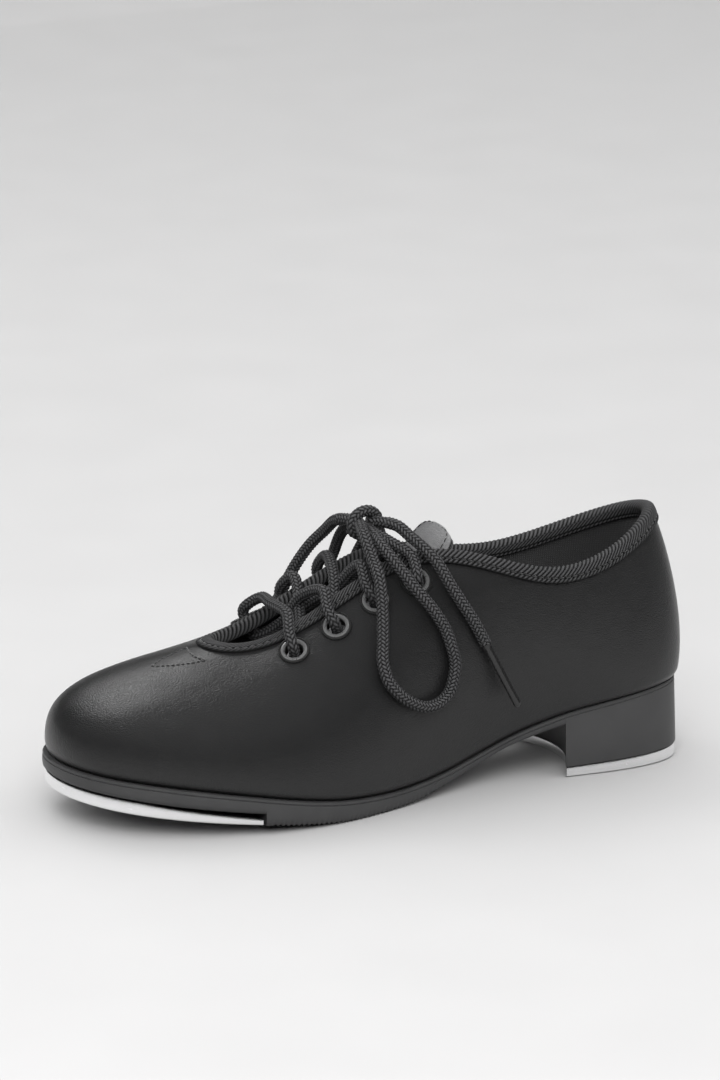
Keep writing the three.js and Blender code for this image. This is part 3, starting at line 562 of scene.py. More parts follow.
class Board:
    """One material's node tree, with a Principled surface."""

    def __init__(self, name):
        self.material = bpy.data.materials.new(name)
        self.material.use_nodes = True
        self.tree = self.material.node_tree
        self.surface = self.tree.nodes["Principled BSDF"]

    def node(self, kind, settings=None, inputs=None, output=0):
        """Adds a node: its settings first, then its sockets' values or links."""
        made = self.tree.nodes.new(kind)
        for key, value in (settings or {}).items():
            setattr(made, key, value)
        for key, value in (inputs or {}).items():
            self.feed(made.inputs[key], value)
        return Value(self, made.outputs[output])

    def feed(self, socket, value):
        if isinstance(value, Value):
            self.tree.links.new(value.socket, socket)
        elif socket.type == "RGBA":
            socket.default_value = (*value[:3], 1.0)
        else:
            socket.default_value = value

    def place(self, squash=(1, 1, 1)):
        """Object coordinates in millimetres, squashed along the axes."""
        coordinates = self.node("ShaderNodeTexCoord", output="Object")
        scale = tuple(1000 / s for s in squash)
        return self.node("ShaderNodeMapping", None, {"Vector": coordinates, "Scale": scale})

    def noise(self, size, detail=3.0, roughness=0.5, where=None):
        inputs = {
            "Vector": where or self.place(), "Scale": 1 / size,
            "Detail": detail, "Roughness": roughness,
        }
        return self.node("ShaderNodeTexNoise", None, inputs, "Fac")

    def cells(self, size, feature="F1", where=None):
        inputs = {"Vector": where or self.place(), "Scale": 1 / size}
        return self.node("ShaderNodeTexVoronoi", {"feature": feature}, inputs, "Distance")

    def warped(self, size, amount, squash=(1, 1, 1)):
        """Coordinates pushed about by a soft noise, so that cells lose their straight lines."""
        where = self.place(squash)
        inputs = {"Vector": where, "Scale": 1 / size, "Detail": 2.0}
        push = self.node("ShaderNodeTexNoise", None, inputs, "Color")
        return self.node("ShaderNodeVectorMath", {"operation": "MULTIPLY_ADD"},
                         {0: push, 1: (amount, amount, amount), 2: where})

    def step(self, value, low, high):
        """Smooth step of a value between two levels."""
        inputs = {"Value": value, "From Min": low, "From Max": high}
        return self.node("ShaderNodeMapRange", {"interpolation_type": "SMOOTHSTEP"}, inputs)

    def blend(self, share, first, second):
        made = self.tree.nodes.new("ShaderNodeMix")
        made.data_type = "RGBA"
        self.feed(made.inputs["Factor"], share)
        self.feed(made.inputs[6], first)
        self.feed(made.inputs[7], second)
        return Value(self, made.outputs[2])

    def attribute(self, name):
        return self.node("ShaderNodeAttribute", {"attribute_name": name}, None, "Fac")

    def finish(self, colour, roughness, height=None, depth=0.1, constants=None, metallic=None):
        """Sets the surface. The height is a share of depth, in millimetres."""
        self.feed(self.surface.inputs["Base Color"], colour)
        self.feed(self.surface.inputs["Roughness"], roughness)
        if metallic is not None:
            self.feed(self.surface.inputs["Metallic"], metallic)
        if height is not None:
            inputs = {"Height": height, "Distance": depth * MM, "Strength": 1.0}
            bump = self.node("ShaderNodeBump", None, inputs)
            self.feed(self.surface.inputs["Normal"], bump)
        for key, value in (constants or {}).items():
            self.surface.inputs[key].default_value = value
        return self.material


def lighter(colour, share):
    return tuple(min(1.0, c * share) for c in colour)


# ---------------------------------------------------------------- materials


def leather(name, colour, grain):
    """Coated leather: fine pebbles drawn out along the shoe, with faint creases in patches."""
    board = Board(name)
    pebble = board.cells(grain, "F1", board.warped(2.4, 0.8, (0.9, 1.4, 0.8)))
    crease = board.cells(grain * 2.6, "DISTANCE_TO_EDGE", board.warped(4.0, 2.6, (1, 1.7, 0.8)))
    patch = board.step(board.noise(14, 2), 0.4, 0.65)
    height = (1 - pebble) * 0.75 + board.step(crease, 0.0, 0.2) * patch * 0.22 + board.noise(0.3, 2) * 0.2
    tone = board.blend(board.noise(9, 3), lighter(colour, 0.8), lighter(colour, 1.2))
    rough = 0.27 + board.noise(5, 2) * 0.06
    return board.finish(tone, rough, height, 0.13, {"Specular IOR Level": 0.47})


def textile(name, colour, pitch, depth, fuzz=0.4):
    """Knitted or woven cloth: crossing threads with a soft fuzz."""
    board = Board(name)
    where = board.warped(2.0, 0.25)
    settings = {"wave_type": "BANDS", "bands_direction": "Z"}
    warp = board.node("ShaderNodeTexWave", settings, {"Vector": where, "Scale": 0.31 / pitch}, "Fac")
    settings = {"wave_type": "BANDS", "bands_direction": "Y"}
    weft = board.node("ShaderNodeTexWave", settings, {"Vector": where, "Scale": 0.31 / pitch}, "Fac")
    weave = warp * weft
    lint = board.noise(0.35, 3)
    tone = board.blend(weave * 0.7 + lint * 0.3, lighter(colour, 0.55), lighter(colour, 1.5))
    return board.finish(tone, 0.86 + lint * 0.1, weave * 0.8 + lint * 0.2, depth,
                        {"Sheen Weight": fuzz, "Sheen Roughness": 0.5, "Specular IOR Level": 0.25})


def yarn(name, colour, painted_crown_highlight):
    """Twisted polyester yarn: its colour carries a painted highlight on the crowns of the plait and painted
    shade in the hollows between them.
    """
    board = Board(name)
    plait = board.step(board.attribute("plait"), 0.25, 0.95)
    fibre = board.noise(0.22, 4, 0.7)
    # painted highlight on the crowns and painted shade in the hollows, both set by the plait height
    tone = board.blend(plait, lighter(colour, 0.15), painted_crown_highlight)
    tone = board.blend(fibre * 0.6, tone, lighter(colour, 0.4))
    return board.finish(tone, 0.5 + fibre * 0.25, fibre, 0.1, {"Specular IOR Level": 0.2})


def rubber(name, colour):
    """Moulded rubber: nearly smooth, with a faint cloudy bloom and rubbed spots."""
    board = Board(name)
    cloud = board.noise(7, 4, 0.6)
    skin_marks = board.noise(0.5, 3, 0.6)
    rub = board.step(board.noise(3.4, 5, 0.7), 0.56, 0.75)
    tone = board.blend(cloud, lighter(colour, 0.8), lighter(colour, 1.35))
    tone = board.blend(rub * 0.5, tone, lighter(colour, 1.9))
    return board.finish(tone, 0.42 + cloud * 0.12 + rub * 0.1, skin_marks * 0.7 + cloud * 0.3, 0.05)


def machined(name, colour, grain_size, roughness, depth=0.012):
    """Cut metal: fine drawn lines, small dings and slightly dull patches."""
    board = Board(name)
    lines = board.noise(grain_size, 4, 0.6, board.place((18, 18, 1)))
    dings = board.step(board.cells(2.6), 0.06, 0.16)
    dull = board.noise(5, 3)
    tone = board.blend(lines * 0.5 + dull * 0.2, colour, lighter(colour, 0.82))
    return board.finish(tone, roughness + lines * 0.12 + dull * 0.05, lines * 0.5 + dings * 0.5, depth,
                        {"Metallic": 1.0})


def enamel(name, colour, painted_reflection):
    """Gloss enamel on metal; its flat face is painted grey and nearly metallic, a painted reflection of the
    lights on the glossy flat.
    """
    board = Board(name)
    ring = board.attribute("painted_reflection")
    wear = board.noise(1.3, 4)
    # The flat face is painted grey and nearly metallic: a painted reflection of the lights on the black
    # enamel.
    tone = board.blend(ring, colour, painted_reflection)
    return board.finish(tone, 0.24 + wear * 0.1, wear, 0.01, {"Specular IOR Level": 0.3}, metallic=ring * 0.9)


def pressed_fibre(name, colour, size):
    """Board, cork or felt: short fibres and grains pressed flat."""
    board = Board(name)
    grains = board.cells(size, "F1", board.warped(2.0, 0.8))
    fibres = board.noise(size * 0.4, 5, 0.7)
    tone = board.blend(grains * 0.6 + fibres * 0.4, lighter(colour, 0.6), lighter(colour, 1.35))
    return board.finish(tone, 0.82 + fibres * 0.1, grains * 0.5 + fibres * 0.5, 0.15)


def thread_finish(name, colour):
    board = Board(name)
    twist = board.noise(0.3, 3, 0.6)
    tone = board.blend(twist, lighter(colour, 0.6), lighter(colour, 1.6))
    return board.finish(tone, 0.5 + twist * 0.2, twist, 0.06, {"Sheen Weight": 0.2})


def gloss_plastic(name, colour):
    board = Board(name)
    ripple = board.noise(0.9, 3, 0.5)
    tone = board.blend(ripple, lighter(colour, 0.8), lighter(colour, 1.4))
    return board.finish(tone, 0.08 + ripple * 0.08, ripple, 0.03)


MATERIALS = {}


def material(slot):
    """The finish of one of the record's material slots, made once."""
    if slot not in MATERIALS:
        hue = bpy.context.scene.tap_shoe_colours
        size = bpy.context.scene.tap_shoe_sizes
        grain = size.grain / MM
        makers = {
            "upper_leather": lambda: leather(slot, hue.leather, grain),
            # The tongue's lighter leather colour is painted sheen; its leather is the same black as the
            # upper's.
            "tongue_leather": lambda: leather(slot, hue.tongue, grain),
            "lining_textile": lambda: textile(slot, hue.lining, 0.9, 0.12, 0.15),
            "tongue_textile": lambda: textile(slot, hue.lining, 0.9, 0.12, 0.15),
            "sock_textile": lambda: textile(slot, lighter(hue.lining, 1.3), 1.1, 0.16, 0.15),
            # The tape and the lace get painted highlights on their plait's crowns, 11 and 13 times their own
            # colour.
            "binding_tape": lambda: yarn(slot, hue.tape, lighter(hue.tape, 11)),
            "lace_braid": lambda: yarn(slot, hue.lace, lighter(hue.lace, 13)),
            "thread": lambda: thread_finish(slot, hue.lace),
            # The eyelets' flat faces are painted with a grey reflection, 0.22 times the taps' metal colour.
            "eyelet_enamel": lambda: enamel(slot, hue.enamel, lighter(hue.metal, 0.22)),
            "sole_rubber": lambda: rubber(slot, hue.sole),
            "tap_aluminium": lambda: machined(slot, hue.metal, 0.5, 0.16, 0.0015),
            "screw_steel": lambda: machined(slot, lighter(hue.metal, 0.7), 0.4, 0.3),
            "shank_steel": lambda: machined(slot, lighter(hue.metal, 0.5), 0.6, 0.35),
            "fibre_board": lambda: pressed_fibre(slot, (0.3, 0.22, 0.14), 1.2),
            "cork": lambda: pressed_fibre(slot, (0.36, 0.24, 0.13), 2.4),
            "stiffener": lambda: pressed_fibre(slot, (0.28, 0.25, 0.2), 0.8),
            "aglet_plastic": lambda: gloss_plastic(slot, hue.enamel),
        }
        MATERIALS[slot] = makers[slot]()
    return MATERIALS[slot]


# ---------------------------------------------------------------- laces


def on_axis(eyelet, height):
    return eyelet[3] + eyelet[4] * height


def facing_edge(eyelet):
    return upper(eyelet[2], 1)


def between(first, second, share):
    return facing_edge(first) + (facing_edge(second) - facing_edge(first)) * share


def over_facing(end):
    """From above a facing's edge, down over the binding and into its eyelet."""
    edge = facing_edge(end)
    rise = unit(edge - end[3])
    return [
        edge + (0, -3.6, 4.4),
        (edge + end[3]) / 2 + end[4] * 4.0 + (0, -2.2, 0),
        on_axis(end, 2.6) + rise * 1.1 + (0, -0.5, 0),
    ]


def crossing(start, end, lift):
    """From the inside of one eyelet, across the gap, over the other facing and to its eyelet."""
    return [
        on_axis(start, -6.9),
        between(start, end, 0.12) + (0, 1, -6.8),
        between(start, end, 0.5) + (0, 0, lift),
        *over_facing(end),
    ]


def laced_half(first, second, lift):
    """One end of the lace, from the first row up to the knot."""
    sides = (first, second)
    route = [*over_facing(first[0])[1:], on_axis(first[0], -1)]
    for row in (1, 2):
        start = sides[(row + 1) % 2][row - 1]
        end = sides[row % 2][row]
        route += [*crossing(start, end, lift), on_axis(end, -1)]
    start, end = first[2], second[3]
    route += [
        on_axis(start, -6.9),
        between(start, end, 0.5) + (0, 0, lift - 5.2),
        on_axis(end, -6.9),
        on_axis(end, -1),
        on_axis(end, 4),
    ]
    side = math.copysign(1, end[3][0])
    route += [(side * 20, 9.5, 94.5), (side * 15, 6.5, 97.3), (side * 11.5, 3.8, 99)]
    return [np.asarray(point, float) for point in route]


def laced_route():
    outer, inner = EYELETS[:4], EYELETS[4:]
    left = laced_half(inner, outer, 3.2)
    right = laced_half(outer, inner, -2.6)
    bar = [
        facing_edge(inner[0]) + (0, -4, 4.6),
        between(outer[0], inner[0], 0.5) + (0, -5, 5.5),
        facing_edge(outer[0]) + (0, -4, 4.6),
    ]
    return [*left[::-1], *bar, *right]


def lying(u, v, height):
    """A place on the upper with its height above the leather."""
    return skin(u, v, -height)


def bow_routes():
    """Routes of the bow: for each side its loop and its tail."""
    outer_loop = [
        (10, -6.6, 103.5), (14.5, -7, 100.5), (19.5, -6.6, 94.8), (25.6, -6.6, 88.6), lying(5.5, 0.8, 6),
        lying(5.54, 0.7, 3.8), lying(5.56, 0.62, 3.3), lying(5.5, 0.54, 3.1), lying(5.36, 0.475, 3.1),
        lying(5.2, 0.43, 3.1), lying(5.02, 0.4, 3.1), lying(4.84, 0.4, 3.1), lying(4.7, 0.43, 3.1),
        lying(4.64, 0.48, 3.1), lying(4.62, 0.54, 3.1), lying(4.67, 0.6, 3.2), lying(4.75, 0.67, 3.4),
        lying(4.9, 0.75, 4.4), (29.6, 7.4, 83.4), (25.8, 3.8, 89.4), (21, 0.4, 95.2), (15.5, -1.2, 99),
        (10, -1.2, 101),
    ]
    outer_tail = [
        (6.4, 5.6, 105), (11, 8.2, 104.2), (16, 10.8, 101.2), (21, 13.8, 97.8), (25.4, 17.4, 92.8),
        lying(4.62, 0.84, 4), lying(4.5, 0.77, 3.4), lying(4.34, 0.69, 3.1), lying(4.18, 0.6, 3.1),
    ]
    inner_loop = [
        (-10, -6.6, 103.8), (-15, -7, 102), (-22, -8, 96.6), (-28.5, -11.5, 89.5), (-34, -15.5, 80),
        (-38.5, -19.5, 68.5), (-42.5, -22, 57.5), lying(12.66, 0.5, 4), lying(12.78, 0.45, 3.3),
        lying(12.95, 0.43, 3.1), lying(13.12, 0.45, 3.1), lying(13.24, 0.51, 3.2), lying(13.3, 0.6, 3.6),
        lying(13.28, 0.7, 4.4), (-31.5, -1.2, 79), (-27, -1.6, 87), (-21, -1.6, 94.8),
        (-15.5, -1.4, 99), (-10, -1.2, 101),
    ]
    inner_tail = [
        (-6.4, 5.6, 104.8), (-11, 8, 103.8), (-16.5, 11, 100.4), (-22, 14.6, 95.6), (-27, 18.6, 89),
        lying(13.5, 0.82, 4.4), lying(13.62, 0.74, 3.6), lying(13.76, 0.66, 3.1), lying(13.9, 0.56, 3.1),
    ]
    return {"outer": (outer_loop, outer_tail), "inner": (inner_loop, inner_tail)}


BOW = bow_routes()


def declare_cord(path):
    places = [tuple(place) for place in placed(path)]
    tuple(places[0])


def bend_from_knot(piece, side, path):
    """Bakes the piece's place into its mesh."""
    start, end = placed(path[[0, round(14 / 0.3)]])
    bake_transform(piece)


# ---------------------------------------------------------------- sizes and colours


class ShoeSizes(bpy.types.PropertyGroup):
    """Sizes of the fine detail, which a maker picks with the stock."""

    lace: FloatProperty(name="Lace", description="Diameter of the round braided lace",
                        default=LACE * MM, min=0.002, max=0.008, unit="LENGTH")
    rib: FloatProperty(name="Binding rib", description="Pitch of the slanting ribs of the binding tape",
                       default=0.0019, min=0.0008, max=0.004, unit="LENGTH")
    grain: FloatProperty(name="Leather grain", description="Width of one pebble of the leather's grain",
                         default=0.00054, min=0.0003, max=0.004, unit="LENGTH")
    tread: FloatProperty(name="Tread pitch", description="Pitch of the fine grooves across the tread",
                         default=0.0021, min=0.001, max=0.006, unit="LENGTH")
    stitch: FloatProperty(name="Stitch", description="Length of one stitch",
                          default=0.0023, min=0.001, max=0.005, unit="LENGTH")


class ShoeColours(bpy.types.PropertyGroup):
    """Colours of the stock that the shoe is made of."""

    leather: FloatVectorProperty(name="Leather", description="Coated leather of the upper",
                                 default=(0.0035, 0.0035, 0.0036), subtype="COLOR", min=0, max=1)
    # The tongue is the upper's black leather; its lighter colour is painted sheen for its face that turns up
    # to the lights.
    tongue: FloatVectorProperty(name="Tongue", description="Leather of the tongue",
                                default=(0.05, 0.05, 0.051), subtype="COLOR", min=0, max=1)
    lining: FloatVectorProperty(name="Lining", description="Textile of the lining and the sock",
                                default=(0.004, 0.004, 0.0042), subtype="COLOR", min=0, max=1)
    tape: FloatVectorProperty(name="Binding", description="Ribbed tape over the top edge",
                              default=(0.003, 0.003, 0.0031), subtype="COLOR", min=0, max=1)
    lace: FloatVectorProperty(name="Lace", description="Braided lace and sewing thread",
                              default=(0.003, 0.003, 0.0031), subtype="COLOR", min=0, max=1)
    sole: FloatVectorProperty(name="Sole", description="Moulded rubber of sole and heel",
                              default=(0.012, 0.012, 0.0123), subtype="COLOR", min=0, max=1)
    enamel: FloatVectorProperty(name="Enamel", description="Enamel of the eyelets and the lace tips",
                                default=(0.006, 0.006, 0.006), subtype="COLOR", min=0, max=1)
    metal: FloatVectorProperty(name="Metal", description="Bright metal of the taps",
                               default=(0.96, 0.963, 0.967), subtype="COLOR", min=0, max=1)


def sizes():
    return bpy.context.scene.tap_shoe_sizes


class ShoeStep:
    """What the shoe's operators have in common."""

    bl_options = {"REGISTER", "UNDO"}

    def execute(self, context):
        missing = [node for node in getattr(self, "nodes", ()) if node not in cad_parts]
        if missing:
            raise RuntimeError(f"{self.bl_idname}: the frame has no {', '.join(missing)}")
        self.make(context)
        return {"FINISHED"}


# ---------------------------------------------------------------- operators


class TAPSHOE_OT_camera(ShoeStep, bpy.types.Operator):
    """Sets the camera at the outer side, a little above the shoe"""

    bl_idname = "tap_shoe.camera"
    bl_label = "Camera"

    def make(self, context):
        azimuth, elevation, distance = math.radians(65.525), math.radians(14.931), 1.698
        back = Vector((
            math.sin(azimuth) * math.cos(elevation),
            -math.cos(azimuth) * math.cos(elevation),
            math.sin(elevation),
        ))
        right = Vector((math.cos(azimuth), math.sin(azimuth), 0))
        look_at = Vector(placed((0, 0, 40))[0]) - right * 0.00274 + back.cross(right) * 0.05512
        camera = bpy.data.objects.new("camera", bpy.data.cameras.new("camera"))
        camera.data.lens = 145.9
        camera.data.sensor_width = 36
        camera.data.clip_end = 60
        camera.location = look_at + back * distance
        camera.rotation_mode = "QUATERNION"
        camera.rotation_quaternion = (-back).to_track_quat("-Z", "Y")
        context.scene.collection.objects.link(camera)
        context.scene.camera = camera


class TAPSHOE_OT_bow(ShoeStep, bpy.types.Operator):
    """Makes the two loops and the two tails of the bow, with their tips"""

    bl_idname = "tap_shoe.bow"
    bl_label = "Bow"
    nodes = ("lace_loop_outer", "lace_loop_inner", "lace_tail_outer", "lace_tail_inner")

    def make(self, context):
        diameter = sizes().lace / MM
        for side, (loop, tail) in BOW.items():
            path = smooth_route(loop)
            piece = braided_piece(f"lace_loop_{side}_braid", [path], diameter, material("lace_braid"),
                                  body=None, replaces=[f"lace_loop_{side}"])
            bend_from_knot(piece, side, path)
            declare_cord(path)
            path = smooth_route(tail)
            tip = self.tip(side, path)
            piece = braided_piece(f"lace_tail_{side}_braid", [path], diameter, material("lace_braid"),
                                  body=None, replaces=[f"lace_tail_{side}"])
            bend_from_knot(piece, side, path)
            declare_cord(path)

    def tip(self, side, path):
        """Tip of the lace: a tight sleeve with a crimped mouth and a rounded end."""
        direction = unit(path[-1] - path[-6])
        profile = [
            (0, -2.6), (2.2, -2.6), (2.1, -1.6), (1.85, -0.4), (1.62, 0.6), (1.56, 2.4), (1.6, 3.0),
            (1.55, 3.5), (1.58, 12), (1.53, 20), (1.56, 26.6), (1.46, 27.4), (1.16, 28.0), (0.6, 28.2),
            (0, 28.2),
        ]
        shape = turned(profile, path[-1] + direction * GAP, direction, 32)
        return new_piece(f"aglet_{side}_sleeve", shape, material("aglet_plastic"), "aglet_plastic",
                         f"bow_{side}", [f"aglet_{side}"])


class TAPSHOE_OT_lacing(ShoeStep, bpy.types.Operator):
    """Laces the shoe through its eight eyelets and ties the knot"""

    bl_idname = "tap_shoe.lacing"
    bl_label = "Lacing and knot"
    nodes = ("lace_laced_run", "lace_knot")

    def make(self, context):
        path = smooth_route(laced_route())
        braided_piece("lace_laced_run_braid", [path], LACE_IN_EYELETS + 0.2, material("lace_braid"),
                      replaces=["lace_laced_run"])
        braided_piece("lace_knot_braid", self.knot_paths(), sizes().lace / MM - 0.1, material("lace_braid"),
                      replaces=["lace_knot"])

    def knot_paths(self):
        """A turn and a half of lace round the four strands that pass through the knot."""
        angle = np.radians(np.linspace(-150, 320, 22))
        wrap = np.stack([
            np.linspace(-2.6, 2.4, 22) + 0.6 * np.sin(angle),
            -1.0 + 5.6 * np.cos(angle),
            104.0 + 4.9 * np.sin(angle),
        ], 1)
        front = [
            (-10.4, -6.6, 103.8), (-5.5, -5.2, 104.6), (0, -3.6, 104.4), (5.5, -5.2, 104.4),
            (10.4, -6.6, 103.3),
        ]
        lower = [(-10.4, -1.2, 101), (-5, -0.6, 101.8), (0, -0.4, 102.2), (5, -0.6, 101.8), (10.4, -1.2, 101)]
        tails = [(-7.2, 6, 104.6), (-3, 3.4, 104.6), (0, 1.6, 104), (3, 3.4, 104.6), (7.2, 6, 104.9)]
        ends = [(-12, 4.1, 98.8), (-6, 1.6, 100.6), (0, 0.4, 101.4), (6, 1.6, 100.6), (12, 4.1, 98.8)]
        return [smooth_route(route) for route in (wrap, front, lower, tails, ends)]


class TAPSHOE_OT_upper(ShoeStep, bpy.types.Operator):
    """Makes the leather upper with its punched eyelet holes, and the lining behind it"""

    bl_idname = "tap_shoe.upper"
    bl_label = "Upper and lining"
    nodes = ("upper_shell", "upper_lining")

    def make(self, context):
        new_piece("upper_leather", self.leather_shape(), material("upper_leather"), "upper_leather",
                  replaces=["upper_shell"])
        new_piece("upper_lining_cloth", self.lining_shape(), material("lining_textile"), "lining_textile",
                  replaces=["upper_lining"])

    def leather_shape(self):
        u = np.arange(576)[None, :] * ROUND / 576
        v = np.concatenate([np.linspace(0.012, 0.08, 7), np.linspace(0.1, 1, 84)])[:, None]
        u, v = np.broadcast_arrays(u, v)
        face = skin(u, v, -self.waves(u, v) + 0.7 * (1 - ease(0, 0.06, v)))
        back = skin(u, v, LEATHER)[::-1]
        ring = u[0]
        foot = [
            foot_point(ring, inset, GAP + lift)
            for inset, lift in ((LEATHER, LEATHER), (MARGIN, LEATHER), (MARGIN, 0), (1.2, 0))
        ]
        rows = np.concatenate([face, back, np.stack(foot)])
        return self.punched(rows, ring.size)

    @staticmethod
    def waves(u, v):
        """Slight unevenness of leather pulled over a last, in millimetres."""
        fade = ease(0, 0.15, v) * (1 - ease(0.86, 1, v))
        turn = u * 2 * math.pi / ROUND
        swell = (np.sin(7 * turn + 5 * v) + 0.7 * np.sin(17 * turn - 9 * v + 1.3)
                 + 0.5 * np.sin(31 * turn + 16 * v))
        flex = np.exp(-((v - 0.62) / 0.2) ** 2) * np.sin(60 * v + 6 * np.sin(3 * turn))
        instep = np.exp(-((np.minimum(u, ROUND - u) - 5.2) / 0.9) ** 2)
        return fade * (0.03 * swell + 0.035 * flex * instep)

    @staticmethod
    def punched(rows, columns):
        """Closes the section into a band and takes out the faces over each eyelet's hole."""
        quads = grid_quads(len(rows), columns, True, True)
        points = rows.reshape(-1, 3)
        centres = points[quads].mean(axis=1)
        keep = np.ones(len(quads), bool)
        for _, _, _, place, out in EYELETS:
            offset = centres - place
            height = offset @ out
            reach = np.linalg.norm(offset - height[:, None] * out, axis=1)
            keep &= (reach > EYELET_CUT) | (np.abs(height) > 8)
        return points, quads[keep]

    def lining_shape(self):
        u = np.arange(360)[None, :] * ROUND / 360
        share = np.linspace(0, 1, 48)[:, None]
        reach = np.maximum(0.05, (2 * GAP + LEATHER + 0.4) / (loop_spline(RISE, u[0])[:, 1] * 3))
        v = reach[None, :] + (1 - reach[None, :]) * share
        u, v = np.broadcast_arrays(u, v)
        depth = lining_depth(u, v)
        rows = np.concatenate([skin(u, v, depth + LINING), skin(u, v, depth)[::-1]])
        return self.punched(rows, 360)


class TAPSHOE_OT_binding(ShoeStep, bpy.types.Operator):
    """Folds the ribbed tape over the top edge and stitches it down"""

    bl_idname = "tap_shoe.binding"
    bl_label = "Binding"
    nodes = ("topline_binding",)
    outside = 5.0
    inside = 4.4
    groove = 2.9
    tape = 0.85

    def make(self, context):
        shape, plait = self.tape_shape()
        new_piece("topline_binding_tape", shape, material("binding_tape"), "binding_tape",
                  replaces=["topline_binding"], attributes={"plait": plait})
        new_piece("topline_binding_stitching", self.seam(), material("thread"), "thread")

    def stations(self, spacing):
        """Stations evenly spaced along the top edge, with the distance travelled."""
        fine = np.linspace(0, ROUND, 4001)
        edge = loop_spline(EDGE, fine)
        run = np.concatenate([[0], np.cumsum(np.linalg.norm(np.diff(edge, axis=0), axis=1))])
        count = round(run[-1] / spacing)
        travelled = np.arange(count) * run[-1] / count
        return np.interp(travelled, run, fine), travelled, run[-1]

    def tape_shape(self):
        u, travelled, total = self.stations(0.22)
        ribs = round(total / (sizes().rib / MM))
        wall = lining_depth(u, np.ones_like(u)) + LINING
        front = LAYER_GAP + self.tape
        behind = wall + 1.2 * LAYER_GAP + self.tape
        up = unit(upper(u, np.ones_like(u)) - upper(u, np.full_like(u, 0.97)))
        out = upper_normal(u, np.ones_like(u))
        edge = upper(u, np.ones_like(u))
        rows, bases, acrosses = [], [], []

        def add_row(point, normal, across, swell):
            rows.append((point, normal))
            acrosses.append(across)
            bases.append(swell)

        for distance in np.linspace(self.outside, 0.3, 17):
            v = below(u, distance)
            add_row(upper(u, v) + upper_normal(u, v) * (LAYER_GAP + 0.15), upper_normal(u, v),
                    self.outside - distance, self.swell(distance, self.outside))
        half = (front + behind) / 2
        centre = edge + out * column(front - half)
        for angle in np.linspace(0.12, math.pi - 0.12, 11):
            normal = out * math.cos(angle) + up * math.sin(angle)
            lean = out * column(half * math.cos(angle)) + up * (1.7 * math.sin(angle))
            point = centre + lean - normal * (self.tape - 0.15)
            add_row(point, unit(normal), self.outside + 1.2 * angle, 1.0)
        for distance in np.linspace(0.3, self.inside, 13):
            v = below(u, distance)
            add_row(skin(u, v, behind - self.tape + 0.15), -upper_normal(u, v),
                    self.outside + 4 + distance, self.swell(distance, self.inside))
        points, plaits = [], []
        for (point, normal), across, swell in zip(rows, acrosses, bases):
            phase = 2 * math.pi * (travelled * ribs / total + across * 0.62)
            rib = (0.5 + 0.5 * np.cos(phase)) ** 0.7
            points.append(point + normal * column(swell * (self.tape - 0.42) + 0.46 * swell * rib))
            # The plait share also paints the tape's colour: highlights on the ribs of the rolls and painted
            # shade in the groove between the two rolls.
            plaits.append(0.1 + 0.85 * rib * swell)
        quads = grid_quads(len(points), len(u), True, True)
        return (np.stack(points).reshape(-1, 3), quads), np.concatenate(plaits)

    def swell(self, distance, lower):
        """Roundness of the two rolls of the tape on each side of its seam."""
        if distance < self.groove:
            return min(1.0, math.sin(math.pi * min(0.5, (self.groove - distance) / 1.6)) + 0.1)
        share = (distance - self.groove) / (lower - self.groove + 0.001)
        return 0.12 + 0.8 * math.sin(math.pi * share) ** 0.7

    def seam(self):
        u = self.stations(0.6)[0]
        v = below(u, self.groove)
        lift = upper_normal(u, v)
        places = upper(u, v) + lift * (LAYER_GAP + 0.42)
        return stitches(places, lift, sizes().stitch / MM, 0.6, 0.3)


class TAPSHOE_OT_eyelets(ShoeStep, bpy.types.Operator):
    """Sets the eight enamelled eyelets and the washers behind them"""

    bl_idname = "tap_shoe.eyelets"
    bl_label = "Eyelets"

    def make(self, context):
        ring, painted_reflection = self.rolled_ring()
        washer = [(4.3, 0), (5.3, -0.05), (5.4, -0.3), (5.3, -0.6), (4.3, -0.6), (4.2, -0.3)]
        depth = LEATHER + LAYER_GAP + LINING + 1.05
        for side, row, _, place, out in EYELETS:
            shape = turned(ring, place, out, 72, True)
            # the flat of each eyelet's face carries a painted reflection
            new_piece(f"eyelet_ring_{side}_{row}", shape, material("eyelet_enamel"), "eyelet_enamel",
                      replaces=[f"eyelet_{side}_{row}"], attributes={"painted_reflection": np.repeat(painted_reflection, 72)})
            shape = turned(washer, place - out * depth, out, 64, True)
            new_piece(f"eyelet_back_{side}_{row}", shape, material("eyelet_enamel"), "eyelet_enamel",
                      replaces=[f"eyelet_washer_{side}_{row}"])

    def rolled_ring(self):
        """Profile of the eyelet: barrel, rolled face with a flat, and a dark outer bead. The third column
        marks the flat, which is painted with a grey reflection.
        """
        rows = [
            (3.55, -4.2, 0), (3.52, -2, 0), (3.5, -0.4, 0), (3.54, 0.1, 0), (3.64, 0.36, 0.6),
            (3.8, 0.56, 1), (4.2, 0.7, 1), (4.6, 0.74, 1), (4.98, 0.72, 1), (5.08, 0.62, 0.1),
            (5.14, 0.46, 0), (5.24, 0.52, 0), (5.42, 0.84, 0), (5.72, 0.86, 0), (5.98, 0.64, 0),
            (6.06, 0.3, 0), (5.98, 0.06, 0), (5.6, 0.0, 0), (4.4, 0.0, 0), (4.0, -0.3, 0),
            (3.95, -2, 0), (3.9, -4.2, 0), (3.72, -4.4, 0),
        ]
        table = np.array(rows)
        return table[:, :2], table[:, 2]


